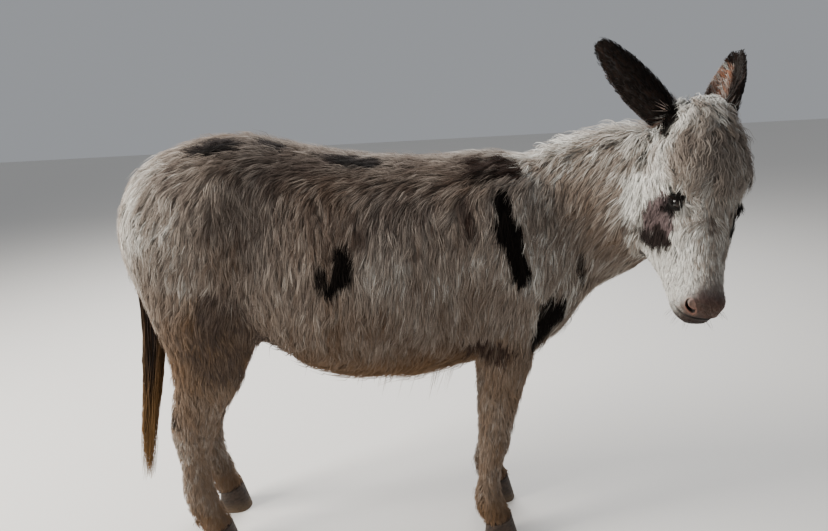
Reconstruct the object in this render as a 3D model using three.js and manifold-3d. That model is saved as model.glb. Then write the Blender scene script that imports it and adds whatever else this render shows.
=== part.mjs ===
// A life-size standing donkey with its winter coat, its neck bent to its right and its head turned
// out to that side. +X is forwards, +Y the animal's left, +Z up; millimetres. The origin is on the
// floor, below the middle of the animal's bounding box. Each solid is drawn out to the tips of the coat.
import * as THREE from "three";
import { mergeVertices } from "three/addons/utils/BufferGeometryUtils.js";
import Module from "manifold-3d";

const wasm = await Module();
wasm.setup();

// ---------------------------------------------------------------- driving dimensions
const GAP = 0.5; // clearance between neighbouring solids
const MERGE = 1e-3; // corners nearer than this are one
// The middle of each foot on the floor.
const STANCE = { foreNear: [160, -92], foreFar: [172, 88], hindNear: [-577, -92], hindFar: [-600, 84] };
const KNEE_CUT = 300; // heights at which a leg is parted
const HOCK_CUT = 372;

// How finely each part is faceted: points around a ring, and rings along the part.
const FACETS = {
  trunk: { around: 28, longest: 65 },
  neck: { around: 22, along: 11 },
  head: { around: 28 },
  leg: { around: 16, along: 9 },
  dock: { around: 12, along: 9 },
  switch: { around: 12, along: 13 },
  eye: { around: 14, along: 9 },
};
// How square each part's section is: 2 is an ellipse, and more has fuller corners.
const SQUARENESS = { trunk: 2.25, neck: 2.1, head: 2.5, leg: 2.2, hoof: 2.3, tail: 2 };

// How the head is carried, in degrees, and how far behind the face its widest line runs, as a share.
const SKULL = { yaw: -69, nod: 18, tilt: -11.5, poll: [574, -182, 1066], widest: 0.42 };
const EYE = { radius: 19, down: 176, aside: 72, forward: 7 };

// Rings across the body, back to front: top and bottom of the outline, half the width, and how high
// the widest place lies as a share of the ring's height.
const TRUNK = [
  { at: "buttock end", x: -728, top: 900, bottom: 800, half: 30, widest: 0.5 },
  { at: "seat", x: -714, top: 942, bottom: 730, half: 86, widest: 0.5 },
  { at: "pin bones", x: -690, top: 979, bottom: 672, half: 125, widest: 0.5 },
  { at: "tail head", x: -650, top: 1017, bottom: 632, half: 157, widest: 0.5 },
  { at: "thigh", x: -595, top: 1047, bottom: 610, half: 178, widest: 0.5 },
  { at: "croup", x: -530, top: 1066, bottom: 590, half: 190, widest: 0.55 },
  { at: "hip", x: -460, top: 1073, bottom: 592, half: 198, widest: 0.56 },
  { at: "flank", x: -390, top: 1070, bottom: 568, half: 200, widest: 0.5 },
  { at: "loin", x: -320, top: 1049, bottom: 522, half: 208, widest: 0.46 },
  { at: "belly", x: -240, top: 1029, bottom: 490, half: 218, widest: 0.45 },
  { at: "barrel", x: -150, top: 1015, bottom: 474, half: 222, widest: 0.45 },
  { at: "back", x: -50, top: 1003, bottom: 477, half: 218, widest: 0.46 },
  { at: "girth", x: 45, top: 998, bottom: 488, half: 204, widest: 0.48 },
  { at: "elbow", x: 120, top: 1005, bottom: 498, half: 190, widest: 0.48 },
  { at: "withers", x: 190, top: 1003, bottom: 508, half: 178, widest: 0.47 },
  { at: "shoulder", x: 250, top: 985, bottom: 524, half: 168, widest: 0.45 },
  { at: "shoulder point", x: 310, top: 950, bottom: 562, half: 150, widest: 0.42 },
  { at: "breast", x: 360, top: 905, bottom: 624, half: 122, widest: 0.4 },
  { at: "breastbone", x: 392, top: 850, bottom: 680, half: 82, widest: 0.45 },
  { at: "breast end", x: 408, top: 800, bottom: 725, half: 35, widest: 0.5 },
];

// Rings across the neck: centre, how far it reaches to the crest and the throat, and half its width.
const NECK = [
  { at: "root", centre: [150, 0, 765], crest: 205, throat: 200, half: 150 },
  { at: "base", centre: [245, 0, 795], crest: 200, throat: 196, half: 140 },
  { at: "low neck", centre: [340, -8, 835], crest: 182, throat: 186, half: 122 },
  { at: "mid neck", centre: [425, -32, 873], crest: 164, throat: 172, half: 108 },
  { at: "throat latch", centre: [495, -72, 910], crest: 148, throat: 150, half: 100 },
  { at: "behind the jaw", centre: [548, -118, 938], crest: 116, throat: 112, half: 86 },
];

// Rings across the head from the poll down to the lips: reach to the face and to the jaw, half the
// width, and how much narrower the jaw side is than the face side.
const HEAD = [
  { at: "top of the wool", down: -44, face: 4, jaw: -30, half: 14, pinch: 0.1 },
  { at: "wool", down: -32, face: 32, jaw: -60, half: 42, pinch: 0.1 },
  { at: "poll", down: -4, face: 52, jaw: -92, half: 66, pinch: 0.1 },
  { at: "forehead", down: 45, face: 70, jaw: -126, half: 84, pinch: 0.16 },
  { at: "fringe", down: 102, face: 82, jaw: -150, half: 100, pinch: 0.24 },
  { at: "brow", down: 138, face: 74, jaw: -164, half: 96, pinch: 0.3 },
  { at: "eye", down: 170, face: 58, jaw: -174, half: 80, pinch: 0.26 },
  { at: "cheek", down: 215, face: 48, jaw: -178, half: 72, pinch: 0.3 },
  { at: "end of the cheek", down: 260, face: 42, jaw: -163, half: 61, pinch: 0.36 },
  { at: "nose bridge", down: 305, face: 36, jaw: -126, half: 51, pinch: 0.3 },
  { at: "chin groove", down: 345, face: 30, jaw: -90, half: 44, pinch: 0.18 },
  { at: "nostrils", down: 378, face: 28, jaw: -72, half: 43, pinch: 0.12 },
  { at: "upper lip", down: 402, face: 14, jaw: -58, half: 35, pinch: 0.1 },
  { at: "lips", down: 418, face: -8, jaw: -40, half: 20, pinch: 0.1 },
];

// Swellings and hollows, in the same coordinates as the rings; those with a side are on both.
const BODY_FORMS = [
  { at: "point of the hip", centre: [-440, 150, 985], radius: 70, height: 8 },
  { at: "flank hollow", centre: [-345, 190, 900], radius: 90, height: -16 },
  { at: "haunch", centre: [-570, 170, 860], radius: 120, height: 12 },
  { at: "stifle fold", centre: [-400, 190, 660], radius: 70, height: 8 },
  { at: "shoulder blade", centre: [190, 170, 800], radius: 120, height: 10 },
  { at: "behind the shoulder", centre: [70, 190, 740], radius: 75, height: -9 },
  { at: "elbow", centre: [110, 180, 570], radius: 60, height: 9 },
  { at: "buttock", centre: [-690, 80, 850], radius: 80, height: 9 },
];
const HEAD_FORMS = [
  { at: "eye bulge", centre: [10, 78, -172], radius: 30, height: 11 },
  { at: "temple", centre: [-30, 80, -120], radius: 35, height: -5 },
  { at: "jaw muscle", centre: [-90, 70, -200], radius: 58, height: 10 },
  { at: "cheek bone", centre: [-6, 66, -235], radius: 34, height: 6 },
  { at: "side of the nose", centre: [0, 52, -300], radius: 34, height: -5 },
  { at: "nostril", centre: [12, 40, -374], radius: 20, height: 6 },
  { at: "nose tip", centre: [30, 0, -388], radius: 24, height: 2 },
  { at: "chin", centre: [-62, 0, -384], radius: 26, height: 8 },
];

// Rings across a leg, measured from its foot's middle: height, reach back and forwards, half the width,
// and how far the ring's middle lies outwards of the foot.
const FORE_LEG = [
  { at: "inside the shoulder", z: 700, back: -30, front: 90, half: 50, out: 10 },
  { at: "elbow", z: 610, back: -48, front: 100, half: 62, out: 12 },
  { at: "upper forearm", z: 540, back: -48, front: 90, half: 64, out: 10 },
  { at: "forearm", z: 450, back: -50, front: 66, half: 52, out: 6 },
  { at: "lower forearm", z: 370, back: -54, front: 45, half: 43, out: 3 },
  { at: "above the knee", z: 325, back: -52, front: 36, half: 40, out: 1 },
  { at: "knee", z: 290, back: -50, front: 30, half: 40, out: 0 },
  { at: "below the knee", z: 255, back: -48, front: 14, half: 34, out: 0 },
  { at: "cannon", z: 205, back: -50, front: 3, half: 28, out: 0 },
  { at: "lower cannon", z: 160, back: -54, front: 0, half: 29, out: 0 },
  { at: "fetlock", z: 128, back: -62, front: 6, half: 34, out: 0 },
  { at: "pastern", z: 96, back: -50, front: 16, half: 31, out: 0 },
  { at: "coronet", z: 66, back: -38, front: 34, half: 33, out: 0 },
];
const HIND_LEG = [
  { at: "inside the thigh", z: 790, back: -95, front: 160, half: 62, out: 22 },
  { at: "thigh", z: 710, back: -88, front: 186, half: 74, out: 24 },
  { at: "stifle", z: 640, back: -66, front: 176, half: 78, out: 20 },
  { at: "upper gaskin", z: 570, back: -55, front: 148, half: 68, out: 14 },
  { at: "gaskin", z: 500, back: -54, front: 118, half: 56, out: 8 },
  { at: "above the hock", z: 440, back: -68, front: 86, half: 46, out: 4 },
  { at: "point of hock", z: 395, back: -88, front: 52, half: 41, out: 2 },
  { at: "hock", z: 352, back: -88, front: 26, half: 41, out: 0 },
  { at: "below the hock", z: 305, back: -80, front: 6, half: 36, out: 0 },
  { at: "cannon", z: 250, back: -76, front: -8, half: 31, out: 0 },
  { at: "lower cannon", z: 195, back: -80, front: -8, half: 31, out: 0 },
  { at: "fetlock", z: 150, back: -78, front: 4, half: 35, out: 0 },
  { at: "pastern", z: 105, back: -60, front: 14, half: 31, out: 0 },
  { at: "coronet", z: 66, back: -40, front: 32, half: 32, out: 0 },
];
const HOOF = { toe: 48, heel: -44, half: 36, crownSlope: 0.34, crownReach: 40, segments: 18, rings: 4 };

// An ear's wall, its wall's most as a share of the radius, how far the cup's axis stands from the
// ear's own, as a share of the radius, and its facets. Then its rings from the root to the tip: how
// far along, the radius of its cup, and how much of a full turn the cup's wall covers.
const EAR = { wall: 12, thinnest: 0.8, axis: 0.55, segments: 8, rings: 11 };
const EAR_RINGS = [
  { at: "root", along: -40, radius: 20, wrap: 0.92 },
  { at: "base", along: 0, radius: 24, wrap: 0.86 },
  { at: "low cup", along: 45, radius: 30, wrap: 0.68 },
  { at: "cup", along: 95, radius: 33, wrap: 0.54 },
  { at: "upper cup", along: 145, radius: 30, wrap: 0.46 },
  { at: "below the tip", along: 190, radius: 21, wrap: 0.42 },
  { at: "tip", along: 222, radius: 9, wrap: 0.4 },
];
// Where each ear stands on the head, and how it is carried: angles in degrees.
const EARS = {
  ear_right: { down: 10, aside: -54, forward: -18, lean: 44, back: 10, turn: 158 },
  ear_left: { down: 10, aside: 60, forward: -18, lean: 25, back: 10, turn: -70 },
};

const DOCK = [
  { at: "root", centre: [-640, 0, 985], half: 34 },
  { at: "tail head", centre: [-684, 0, 952], half: 36 },
  { at: "bend", centre: [-708, 0, 895], half: 34 },
  { at: "dock", centre: [-708, 2, 810], half: 31 },
  { at: "dock end", centre: [-702, 4, 700], half: 29 },
];
const SWITCH = [
  { at: "start", centre: [-703, 4, 694], half: 29 },
  { at: "fullest", centre: [-720, 4, 575], half: 30 },
  { at: "middle", centre: [-744, 4, 450], half: 24 },
  { at: "thinning", centre: [-766, 4, 335], half: 19 },
  { at: "end", centre: [-786, 4, 235], half: 12 },
  { at: "tip", centre: [-797, 4, 160], half: 5 },
];

// ---------------------------------------------------------------- shape helpers
const degrees = THREE.MathUtils.degToRad;

// The value of key at place along rows, which hold rising values of axis, on a smooth cubic through them.
function smooth(rows, axis, key, along) {
  const rising = rows[rows.length - 1][axis] > rows[0][axis] ? 1 : -1;
  let i = 0;
  while (i < rows.length - 2 && rising * along > rising * rows[i + 1][axis]) i++;
  const slope = (j) => {
    const a = rows[Math.max(j - 1, 0)];
    const b = rows[Math.min(j + 1, rows.length - 1)];
    return (b[key] - a[key]) / (b[axis] - a[axis]);
  };
  const [p, q] = [rows[i], rows[i + 1]];
  const step = q[axis] - p[axis];
  const t = (along - p[axis]) / step;
  const [t2, t3] = [t * t, t * t * t];
  return (
    (2 * t3 - 3 * t2 + 1) * p[key] +
    (t3 - 2 * t2 + t) * step * slope(i) +
    (3 * t2 - 2 * t3) * q[key] +
    (t3 - t2) * step * slope(i + 1)
  );
}

// A closed skin over rings of equally many points that turn the same way, with a flat fan at each end.
function skinOver(rings) {
  const count = rings[0].length;
  const middle = (ring) => ring.reduce((sum, p) => sum.add(p), new THREE.Vector3()).divideScalar(count);
  const points = [...rings.flat(), middle(rings[0]), middle(rings[rings.length - 1])];
  const [first, last] = [points.length - 2, points.length - 1];
  const faces = [];
  rings.forEach((ring, r) => {
    for (let i = 0; i < count; i++) {
      const j = (i + 1) % count;
      const [a, b] = [r * count + i, r * count + j];
      if (r === 0) faces.push(first, b, a);
      if (r === rings.length - 1) faces.push(last, a, b);
      else faces.push(a, b, b + count, a, b + count, a + count);
    }
  });
  const geometry = new THREE.BufferGeometry().setFromPoints(points);
  geometry.setIndex(faces);
  return facingOut(geometry);
}

// The same geometry with its faces turned to point outwards.
function facingOut(geometry) {
  const p = geometry.getAttribute("position");
  const index = geometry.getIndex().array;
  const [a, b, c] = [new THREE.Vector3(), new THREE.Vector3(), new THREE.Vector3()];
  let volume = 0;
  for (let i = 0; i < index.length; i += 3) {
    a.fromBufferAttribute(p, index[i]);
    b.fromBufferAttribute(p, index[i + 1]);
    c.fromBufferAttribute(p, index[i + 2]);
    volume += a.dot(b.cross(c));
  }
  if (volume < 0) geometry.setIndex(Array.from(index).reverse());
  return geometry;
}

// A round-cornered ring that reaches half to each side, and ahead and behind. Pinch narrows its back.
function roundedRing(segments, place, half, ahead, behind, exponent, pinch = 0) {
  return Array.from({ length: segments }, (_, i) => {
    const turn = (2 * Math.PI * (i + 0.5)) / segments;
    const [c, s] = [Math.cos(turn), Math.sin(turn)];
    const bend = (v) => Math.sign(v) * Math.abs(v) ** (2 / exponent);
    const narrow = 1 - pinch * Math.max(0, -bend(s));
    return place(half * bend(c) * narrow, s > 0 ? ahead * bend(s) : behind * -bend(s));
  });
}

// The point moved away from a centre line by the swellings near it, and towards it by the hollows.
function moulded(point, centre, forms) {
  const outwards = point.clone().sub(centre).normalize();
  let height = 0;
  for (const form of forms) {
    const [x, y, z] = form.centre;
    const gap = point.distanceTo(new THREE.Vector3(x, y === 0 ? 0 : y * Math.sign(point.y || 1), z));
    height += form.height * Math.exp(-((gap / form.radius) ** 2));
  }
  return point.addScaledVector(outwards, height);
}

// Evenly spaced values from one to another.
function spaced(from, to, count) {
  return Array.from({ length: count }, (_, i) => from + ((to - from) * i) / (count - 1));
}

// A closed mesh as a solid that can be cut, and the way back.
function toSolid(geometry) {
  const bare = geometry.clone();
  bare.deleteAttribute("normal");
  bare.deleteAttribute("uv");
  const merged = mergeVertices(bare, MERGE);
  return new wasm.Manifold(
    new wasm.Mesh({
      numProp: 3,
      vertProperties: new Float32Array(merged.attributes.position.array),
      triVerts: new Uint32Array(merged.index.array),
    }),
  );
}

function toGeometry(solid) {
  const mesh = solid.getMesh();
  const places = new Float32Array(mesh.numVert * 3);
  for (let i = 0; i < mesh.numVert; i++) {
    places.set(mesh.vertProperties.subarray(i * mesh.numProp, i * mesh.numProp + 3), i * 3);
  }
  const geometry = new THREE.BufferGeometry();
  geometry.setAttribute("position", new THREE.BufferAttribute(places, 3));
  geometry.setIndex(new THREE.BufferAttribute(mesh.triVerts, 1));
  return geometry;
}

// The geometry with every corner moved outwards by the clearance, to cut a neighbour with.
function swollen(geometry, by = GAP) {
  const grown = geometry.clone();
  grown.computeVertexNormals();
  const [p, n] = [grown.getAttribute("position"), grown.getAttribute("normal")];
  for (let i = 0; i < p.count; i++) {
    p.setXYZ(i, p.getX(i) + by * n.getX(i), p.getY(i) + by * n.getY(i), p.getZ(i) + by * n.getZ(i));
  }
  return grown;
}

// What is left of a geometry outside its neighbours: the largest piece.
function cutBy(geometry, ...neighbours) {
  let solid = toSolid(geometry);
  for (const other of neighbours) solid = solid.subtract(toSolid(swollen(other)));
  const pieces = solid.decompose().sort((a, b) => b.volume() - a.volume());
  return toGeometry(pieces[0]);
}

// ---------------------------------------------------------------- the body's parts
function trunk() {
  const last = TRUNK.length - 1;
  const places = [];
  for (let i = 0; i < last; i++) {
    const span = TRUNK[i + 1].x - TRUNK[i].x;
    const steps = Math.ceil(span / FACETS.trunk.longest);
    for (let k = 0; k < steps; k++) places.push(TRUNK[i].x + (span * k) / steps);
  }
  places.push(TRUNK[last].x);
  return skinOver(
    places.map((x) => {
      const row = (key) => smooth(TRUNK, "x", key, x);
      const waist = row("bottom") + row("widest") * (row("top") - row("bottom"));
      const centre = new THREE.Vector3(x, 0, waist);
      const place = (y, z) => moulded(new THREE.Vector3(x, y, waist + z), centre, BODY_FORMS);
      const [up, down] = [row("top") - waist, row("bottom") - waist];
      return roundedRing(FACETS.trunk.around, place, row("half"), up, down, SQUARENESS.trunk);
    }),
  );
}

function neck() {
  const line = new THREE.CatmullRomCurve3(NECK.map((row) => new THREE.Vector3(...row.centre)));
  const rows = NECK.map((row, i) => ({ ...row, t: i / (NECK.length - 1) }));
  return skinOver(
    spaced(0, 1, FACETS.neck.along).map((t) => {
      const row = (key) => smooth(rows, "t", key, t);
      const along = line.getTangent(t);
      const aside = new THREE.Vector3(0, 0, 1).cross(along).normalize();
      const up = along.clone().cross(aside).normalize();
      const centre = line.getPoint(t);
      const place = (w, h) => centre.clone().addScaledVector(aside, w).addScaledVector(up, h);
      const [crest, throat] = [row("crest"), row("throat")];
      return roundedRing(FACETS.neck.around, place, row("half"), crest, -throat, SQUARENESS.neck);
    }),
  );
}

// The head's own frame: forwards out of the face, left, and up from the lips to the poll.
const headFrame = new THREE.Matrix4().makeRotationFromEuler(
  new THREE.Euler(degrees(SKULL.tilt), degrees(-SKULL.nod), degrees(SKULL.yaw), "ZYX"),
);
headFrame.setPosition(...SKULL.poll);

function head() {
  const places = [-44, -40, -32, -20, -4, 16, 38, 60, 82, 102, 122, 142, 162, 182, 204, 228, 254, 280];
  places.push(304, 326, 346, 364, 380, 394, 405, 413, 418);
  return skinOver(
    places.map((down) => {
      const row = (key) => smooth(HEAD, "down", key, down);
      const middle = row("face") - SKULL.widest * (row("face") - row("jaw"));
      const centre = new THREE.Vector3(middle, 0, -down);
      const place = (left, forward) => {
        const point = new THREE.Vector3(middle + forward, left, -down);
        return moulded(point, centre, HEAD_FORMS).applyMatrix4(headFrame);
      };
      const [face, jaw] = [row("face") - middle, row("jaw") - middle];
      const around = FACETS.head.around;
      return roundedRing(around, place, row("half"), face, jaw, SQUARENESS.head, row("pinch"));
    }),
  );
}

function eye(side) {
  const ball = new THREE.SphereGeometry(EYE.radius, FACETS.eye.around, FACETS.eye.along);
  const centre = new THREE.Vector3(EYE.forward, side * EYE.aside, -EYE.down).applyMatrix4(headFrame);
  return mergeVertices(ball.deleteAttribute("normal").deleteAttribute("uv")).translate(...centre);
}

// A cupped ear: each ring is the wall's outer arc followed by its inner arc.
function ear({ down, aside, forward, lean, back, turn }) {
  const side = Math.sign(aside);
  const frame = new THREE.Matrix4().makeTranslation(forward, aside, -down);
  frame.multiply(new THREE.Matrix4().makeRotationX(degrees(-side * lean)));
  frame.multiply(new THREE.Matrix4().makeRotationY(degrees(-back)));
  frame.multiply(new THREE.Matrix4().makeRotationZ(degrees(turn)));
  frame.premultiply(headFrame);
  const rings = spaced(EAR_RINGS[0].along, EAR_RINGS[EAR_RINGS.length - 1].along, EAR.rings).map((along) => {
    const radius = smooth(EAR_RINGS, "along", "radius", along);
    const reach = Math.PI * smooth(EAR_RINGS, "along", "wrap", along);
    const wall = Math.min(EAR.wall, radius * EAR.thinnest) / 2;
    const arc = (r, from, to) =>
      spaced(from, to, EAR.segments).map((a) => {
        const point = new THREE.Vector3(radius * EAR.axis - r * Math.cos(a), r * Math.sin(a), along);
        return point.applyMatrix4(frame);
      });
    return [...arc(radius + wall, -reach, reach), ...arc(radius - wall, reach, -reach)];
  });
  return skinOver(rings);
}

// A length of leg between two heights. Its rings are level, but near the hoof they fall to the heel.
function leg(rows, [x, y], from, to) {
  const side = Math.sign(y);
  const coronet = rows[rows.length - 1].z;
  return skinOver(
    spaced(from, to, FACETS.leg.along).map((z) => {
      const row = (key) => smooth(rows, "z", key, z);
      const middle = (row("back") + row("front")) / 2;
      const reach = (row("front") - row("back")) / 2;
      const slope = HOOF.crownSlope * Math.max(0, 1 - (z - coronet) / HOOF.crownReach);
      const outwards = side * row("out");
      const place = (w, d) => new THREE.Vector3(x + middle + d, y + outwards + w, z + slope * (d + middle));
      return roundedRing(FACETS.leg.around, place, row("half"), reach, -reach, SQUARENESS.leg);
    }),
  );
}

// A hoof: a flat sole, walls leaning forwards, and a crown that falls to the heel.
function hoof(rows, [x, y]) {
  const crown = rows[rows.length - 1];
  const sole = { back: HOOF.heel, front: HOOF.toe, half: HOOF.half };
  return skinOver(
    spaced(0, 1, HOOF.rings).map((t) => {
      const mix = (key) => sole[key] + (crown[key] - sole[key]) * t;
      const middle = (mix("back") + mix("front")) / 2;
      const reach = (mix("front") - mix("back")) / 2;
      const height = (ahead) => t * (crown.z - GAP + HOOF.crownSlope * ahead);
      const place = (w, d) => new THREE.Vector3(x + middle + d, y + w, height(d + middle));
      return roundedRing(HOOF.segments, place, mix("half"), reach, -reach, SQUARENESS.hoof);
    }),
  );
}

// A round tapering length of the tail.
function tailLength(rows, { around, along: count }) {
  const line = new THREE.CatmullRomCurve3(rows.map((row) => new THREE.Vector3(...row.centre)));
  const places = rows.map((row, i) => ({ half: row.half, t: i / (rows.length - 1) }));
  return skinOver(
    spaced(0, 1, count).map((t) => {
      const half = smooth(places, "t", "half", t);
      const along = line.getTangent(t);
      const ahead = new THREE.Vector3(0, 1, 0).cross(along).normalize();
      const centre = line.getPoint(t);
      const place = (w, d) => centre.clone().addScaledVector(ahead, d).add(new THREE.Vector3(0, w, 0));
      return roundedRing(around, place, half, half, -half, SQUARENESS.tail);
    }),
  );
}

// ---------------------------------------------------------------- the donkey
const donkey = new THREE.Group();
donkey.name = "donkey";

const COLOURS = {
  coat: { color: 0xa79b8c, roughness: 0.9 },
  pale: { color: 0xc9c2b6, roughness: 0.9 },
  dark: { color: 0x2e2522, roughness: 0.9 },
  horn: { color: 0x3b332d, roughness: 0.6 },
  eye: { color: 0x17110e, roughness: 0.15 },
};
function add(name, geometry, finish) {
  const material = new THREE.MeshStandardMaterial({ metalness: 0, ...COLOURS[finish] });
  const mesh = new THREE.Mesh(geometry, material);
  mesh.name = name;
  donkey.add(mesh);
}

const body = trunk();
const skull = head();
const ears = Object.values(EARS).map((carried) => cutBy(ear(carried), skull));
const balls = { eye_right: eye(-1), eye_left: eye(1) };
add("trunk", body, "coat");
add("neck", cutBy(neck(), body, skull, ...ears), "coat");
add("head", cutBy(skull, ...Object.values(balls)), "pale");
for (const [name, ball] of Object.entries(balls)) add(name, ball, "eye");
Object.keys(EARS).forEach((name, i) => add(name, ears[i], "dark"));

const LEGS = {
  fore_right: { rows: FORE_LEG, foot: STANCE.foreNear, split: KNEE_CUT },
  fore_left: { rows: FORE_LEG, foot: STANCE.foreFar, split: KNEE_CUT },
  hind_right: { rows: HIND_LEG, foot: STANCE.hindNear, split: HOCK_CUT },
  hind_left: { rows: HIND_LEG, foot: STANCE.hindFar, split: HOCK_CUT },
};
for (const [name, { rows, foot, split }] of Object.entries(LEGS)) {
  const crown = rows[rows.length - 1].z;
  add("upper_leg_" + name, cutBy(leg(rows, foot, rows[0].z, split + GAP / 2), body), "coat");
  add("lower_leg_" + name, leg(rows, foot, split - GAP / 2, crown), "coat");
  add("hoof_" + name, hoof(rows, foot), "horn");
}
const dock = cutBy(tailLength(DOCK, FACETS.dock), body);
add("tail_dock", dock, "coat");
add("tail_switch", cutBy(tailLength(SWITCH, FACETS.switch), body, dock), "dark");

// The origin goes to the floor below the middle of the bounding box.
const box = new THREE.Box3().setFromObject(donkey);
const middle = box.getCenter(new THREE.Vector3());
donkey.position.set(-middle.x, -middle.y, -box.min.z);

export default donkey;
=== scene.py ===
"""A life-size standing donkey in a woolly roan winter coat, its head turned out to its right.

Places are metres in the donkey's own frame: +X forwards, +Y its left, +Z up from the floor. A place on
the head is forward out of the face, to its left, and up, from the poll. SHIFT takes the donkey's frame
to the scene's, and is worked out from the frame's own boxes.
"""
import logging
import math
from dataclasses import dataclass, field
from enum import Enum
from functools import partial

import bmesh
import bpy
import numpy as np
from mathutils import Matrix, Vector
from mathutils.bvhtree import BVHTree
from mathutils.kdtree import KDTree


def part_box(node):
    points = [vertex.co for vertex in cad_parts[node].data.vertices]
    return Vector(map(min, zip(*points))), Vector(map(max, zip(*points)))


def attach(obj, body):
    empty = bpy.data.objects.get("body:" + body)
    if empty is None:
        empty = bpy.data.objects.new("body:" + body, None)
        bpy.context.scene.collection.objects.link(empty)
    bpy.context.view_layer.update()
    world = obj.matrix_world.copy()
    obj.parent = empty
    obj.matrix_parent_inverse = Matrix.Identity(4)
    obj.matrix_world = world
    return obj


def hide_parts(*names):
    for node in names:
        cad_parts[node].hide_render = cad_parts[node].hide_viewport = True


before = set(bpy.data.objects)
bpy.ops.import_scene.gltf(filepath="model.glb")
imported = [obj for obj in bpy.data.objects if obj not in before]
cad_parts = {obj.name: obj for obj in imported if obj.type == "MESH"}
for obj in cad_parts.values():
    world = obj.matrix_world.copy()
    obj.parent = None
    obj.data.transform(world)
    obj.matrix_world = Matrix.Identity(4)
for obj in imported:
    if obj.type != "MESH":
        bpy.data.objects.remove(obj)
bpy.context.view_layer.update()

Array = np.ndarray
LOG = logging.getLogger("donkey")
MM = 0.001
SEED = 20
WELD = 1e-5  # corners nearer than this are one corner
BUTTOCK_END = -0.728  # how far back the trunk reaches from the donkey's origin
FORE_FOOT_SIDE = -0.092  # how far out the right fore foot stands


def shift() -> Array:
    """Returns the way from the donkey's frame to the scene's."""
    low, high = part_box("hoof_fore_right")
    return np.array([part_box("trunk")[0].x - BUTTOCK_END, (low.y + high.y) / 2 - FORE_FOOT_SIDE, 0.0])


SHIFT = shift()


# ---- numbers and vectors
def unit(vectors: Array) -> Array:
    """Returns the vectors at length one."""
    return vectors / np.maximum(np.linalg.norm(vectors, axis=-1, keepdims=True), 1e-9)


def ramp(values: Array, low: float, high: float) -> Array:
    """Returns 0 at low and 1 at high, with soft ends."""
    t = np.clip((values - low) / (high - low), 0.0, 1.0)
    return t * t * (3 - 2 * t)


def mix(one: Array, other: Array, share: Array) -> Array:
    """Returns one where share is 0, and other where it is 1."""
    return one + (other - one) * share


def hump(values: Array, middle: float, reach: float) -> Array:
    """Returns a bell that is 1 at middle and nearly 0 two reaches away."""
    return np.exp(-(((values - middle) / reach) ** 2))


def dot(one: Array, other: Array) -> Array:
    """Returns the products of two lists of vectors."""
    return (one * other).sum(axis=-1)


def flattened(vectors: Array, normals: Array) -> Array:
    """Returns the vectors laid along the surface, at length one."""
    return unit(vectors - normals * dot(vectors, normals)[:, None])


def noise(points: Array, size: float, seed: int) -> Array:
    """Makes smooth noise over space.

    Args:
        points: the places, one a row.
        size: the width of one swell, in metres.
        seed: which noise it is.

    Returns:
        A number from -1 to 1 for each place.
    """
    scaled = points / size
    cell = np.floor(scaled).astype(np.int64)
    part = scaled - cell
    part = part * part * (3 - 2 * part)
    total = np.zeros(len(points))
    for corner in range(8):
        step = np.array([corner & 1, corner >> 1 & 1, corner >> 2 & 1])
        c = cell + step
        key = c[:, 0] * 73856093 ^ c[:, 1] * 19349663 ^ c[:, 2] * 83492791 ^ (seed * 7919 + 17)
        key = ((key ^ key >> 13) * 1274126177) & 0x7FFFFFFF
        value = ((key ^ key >> 16) & 0xFFFF) / 32767.5 - 1
        total += value * np.where(step == 1, part, 1 - part).prod(axis=1)
    return total


def srgb(code: str) -> Array:
    """Returns the linear colour of a six-digit hex colour."""
    parts = np.array([int(code[i : i + 2], 16) / 255 for i in (0, 2, 4)])
    return np.where(parts <= 0.04045, parts / 12.92, ((parts + 0.055) / 1.055) ** 2.4)


# ---- the body's regions
class Region(Enum):
    """The regions that the coat's lie and length depend on."""

    TRUNK = 0
    NECK = 1
    HEAD = 2
    EAR_RIGHT = 3
    EAR_LEFT = 4
    UPPER_LEG = 5
    LOWER_LEG = 6
    DOCK = 7


LEG_COLUMNS = [Region.UPPER_LEG.value, Region.LOWER_LEG.value]
EAR_COLUMNS = [Region.EAR_RIGHT.value, Region.EAR_LEFT.value]
BODY_COLUMNS = [Region.TRUNK.value, Region.NECK.value]
FEET = ("fore_right", "fore_left", "hind_right", "hind_left")
FLESH = {
    "trunk": Region.TRUNK,
    "neck": Region.NECK,
    "head": Region.HEAD,
    "ear_right": Region.EAR_RIGHT,
    "ear_left": Region.EAR_LEFT,
    "tail_dock": Region.DOCK,
    **{"upper_leg_" + foot: Region.UPPER_LEG for foot in FEET},
    **{"lower_leg_" + foot: Region.LOWER_LEG for foot in FEET},
}


def turn(axis: str, degrees: float) -> Array:
    """Returns the matrix of a turn about X, Y or Z."""
    return np.array(Matrix.Rotation(math.radians(degrees), 3, axis))


@dataclass(frozen=True)
class Carriage:
    """A frame carried by the body: where its origin is, and how it is turned."""

    origin: Array
    axes: Array

    def inwards(self, points: Array) -> Array:
        """Returns points of the donkey's frame in this one."""
        return (points - self.origin) @ self.axes

    def outwards(self, points: Array) -> Array:
        """Returns points of this frame in the donkey's."""
        return points @ self.axes.T + self.origin

    def aim(self, vectors: Array) -> Array:
        """Returns directions of this frame in the donkey's."""
        return vectors @ self.axes.T


@dataclass(frozen=True)
class EarCarriage:
    """How an ear stands on the head: its root, and its turns in degrees."""

    root: tuple[float, float, float]
    lean: float
    back: float
    spin: float

    def carried(self, head: Carriage) -> Carriage:
        """Returns the ear's frame: +X out of the open side of its cup, +Z from root to tip."""
        side = math.copysign(1, self.root[1])
        axes = head.axes @ turn("X", -side * self.lean) @ turn("Y", -self.back) @ turn("Z", self.spin)
        return Carriage(head.outwards(np.array(self.root)), axes)


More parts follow.
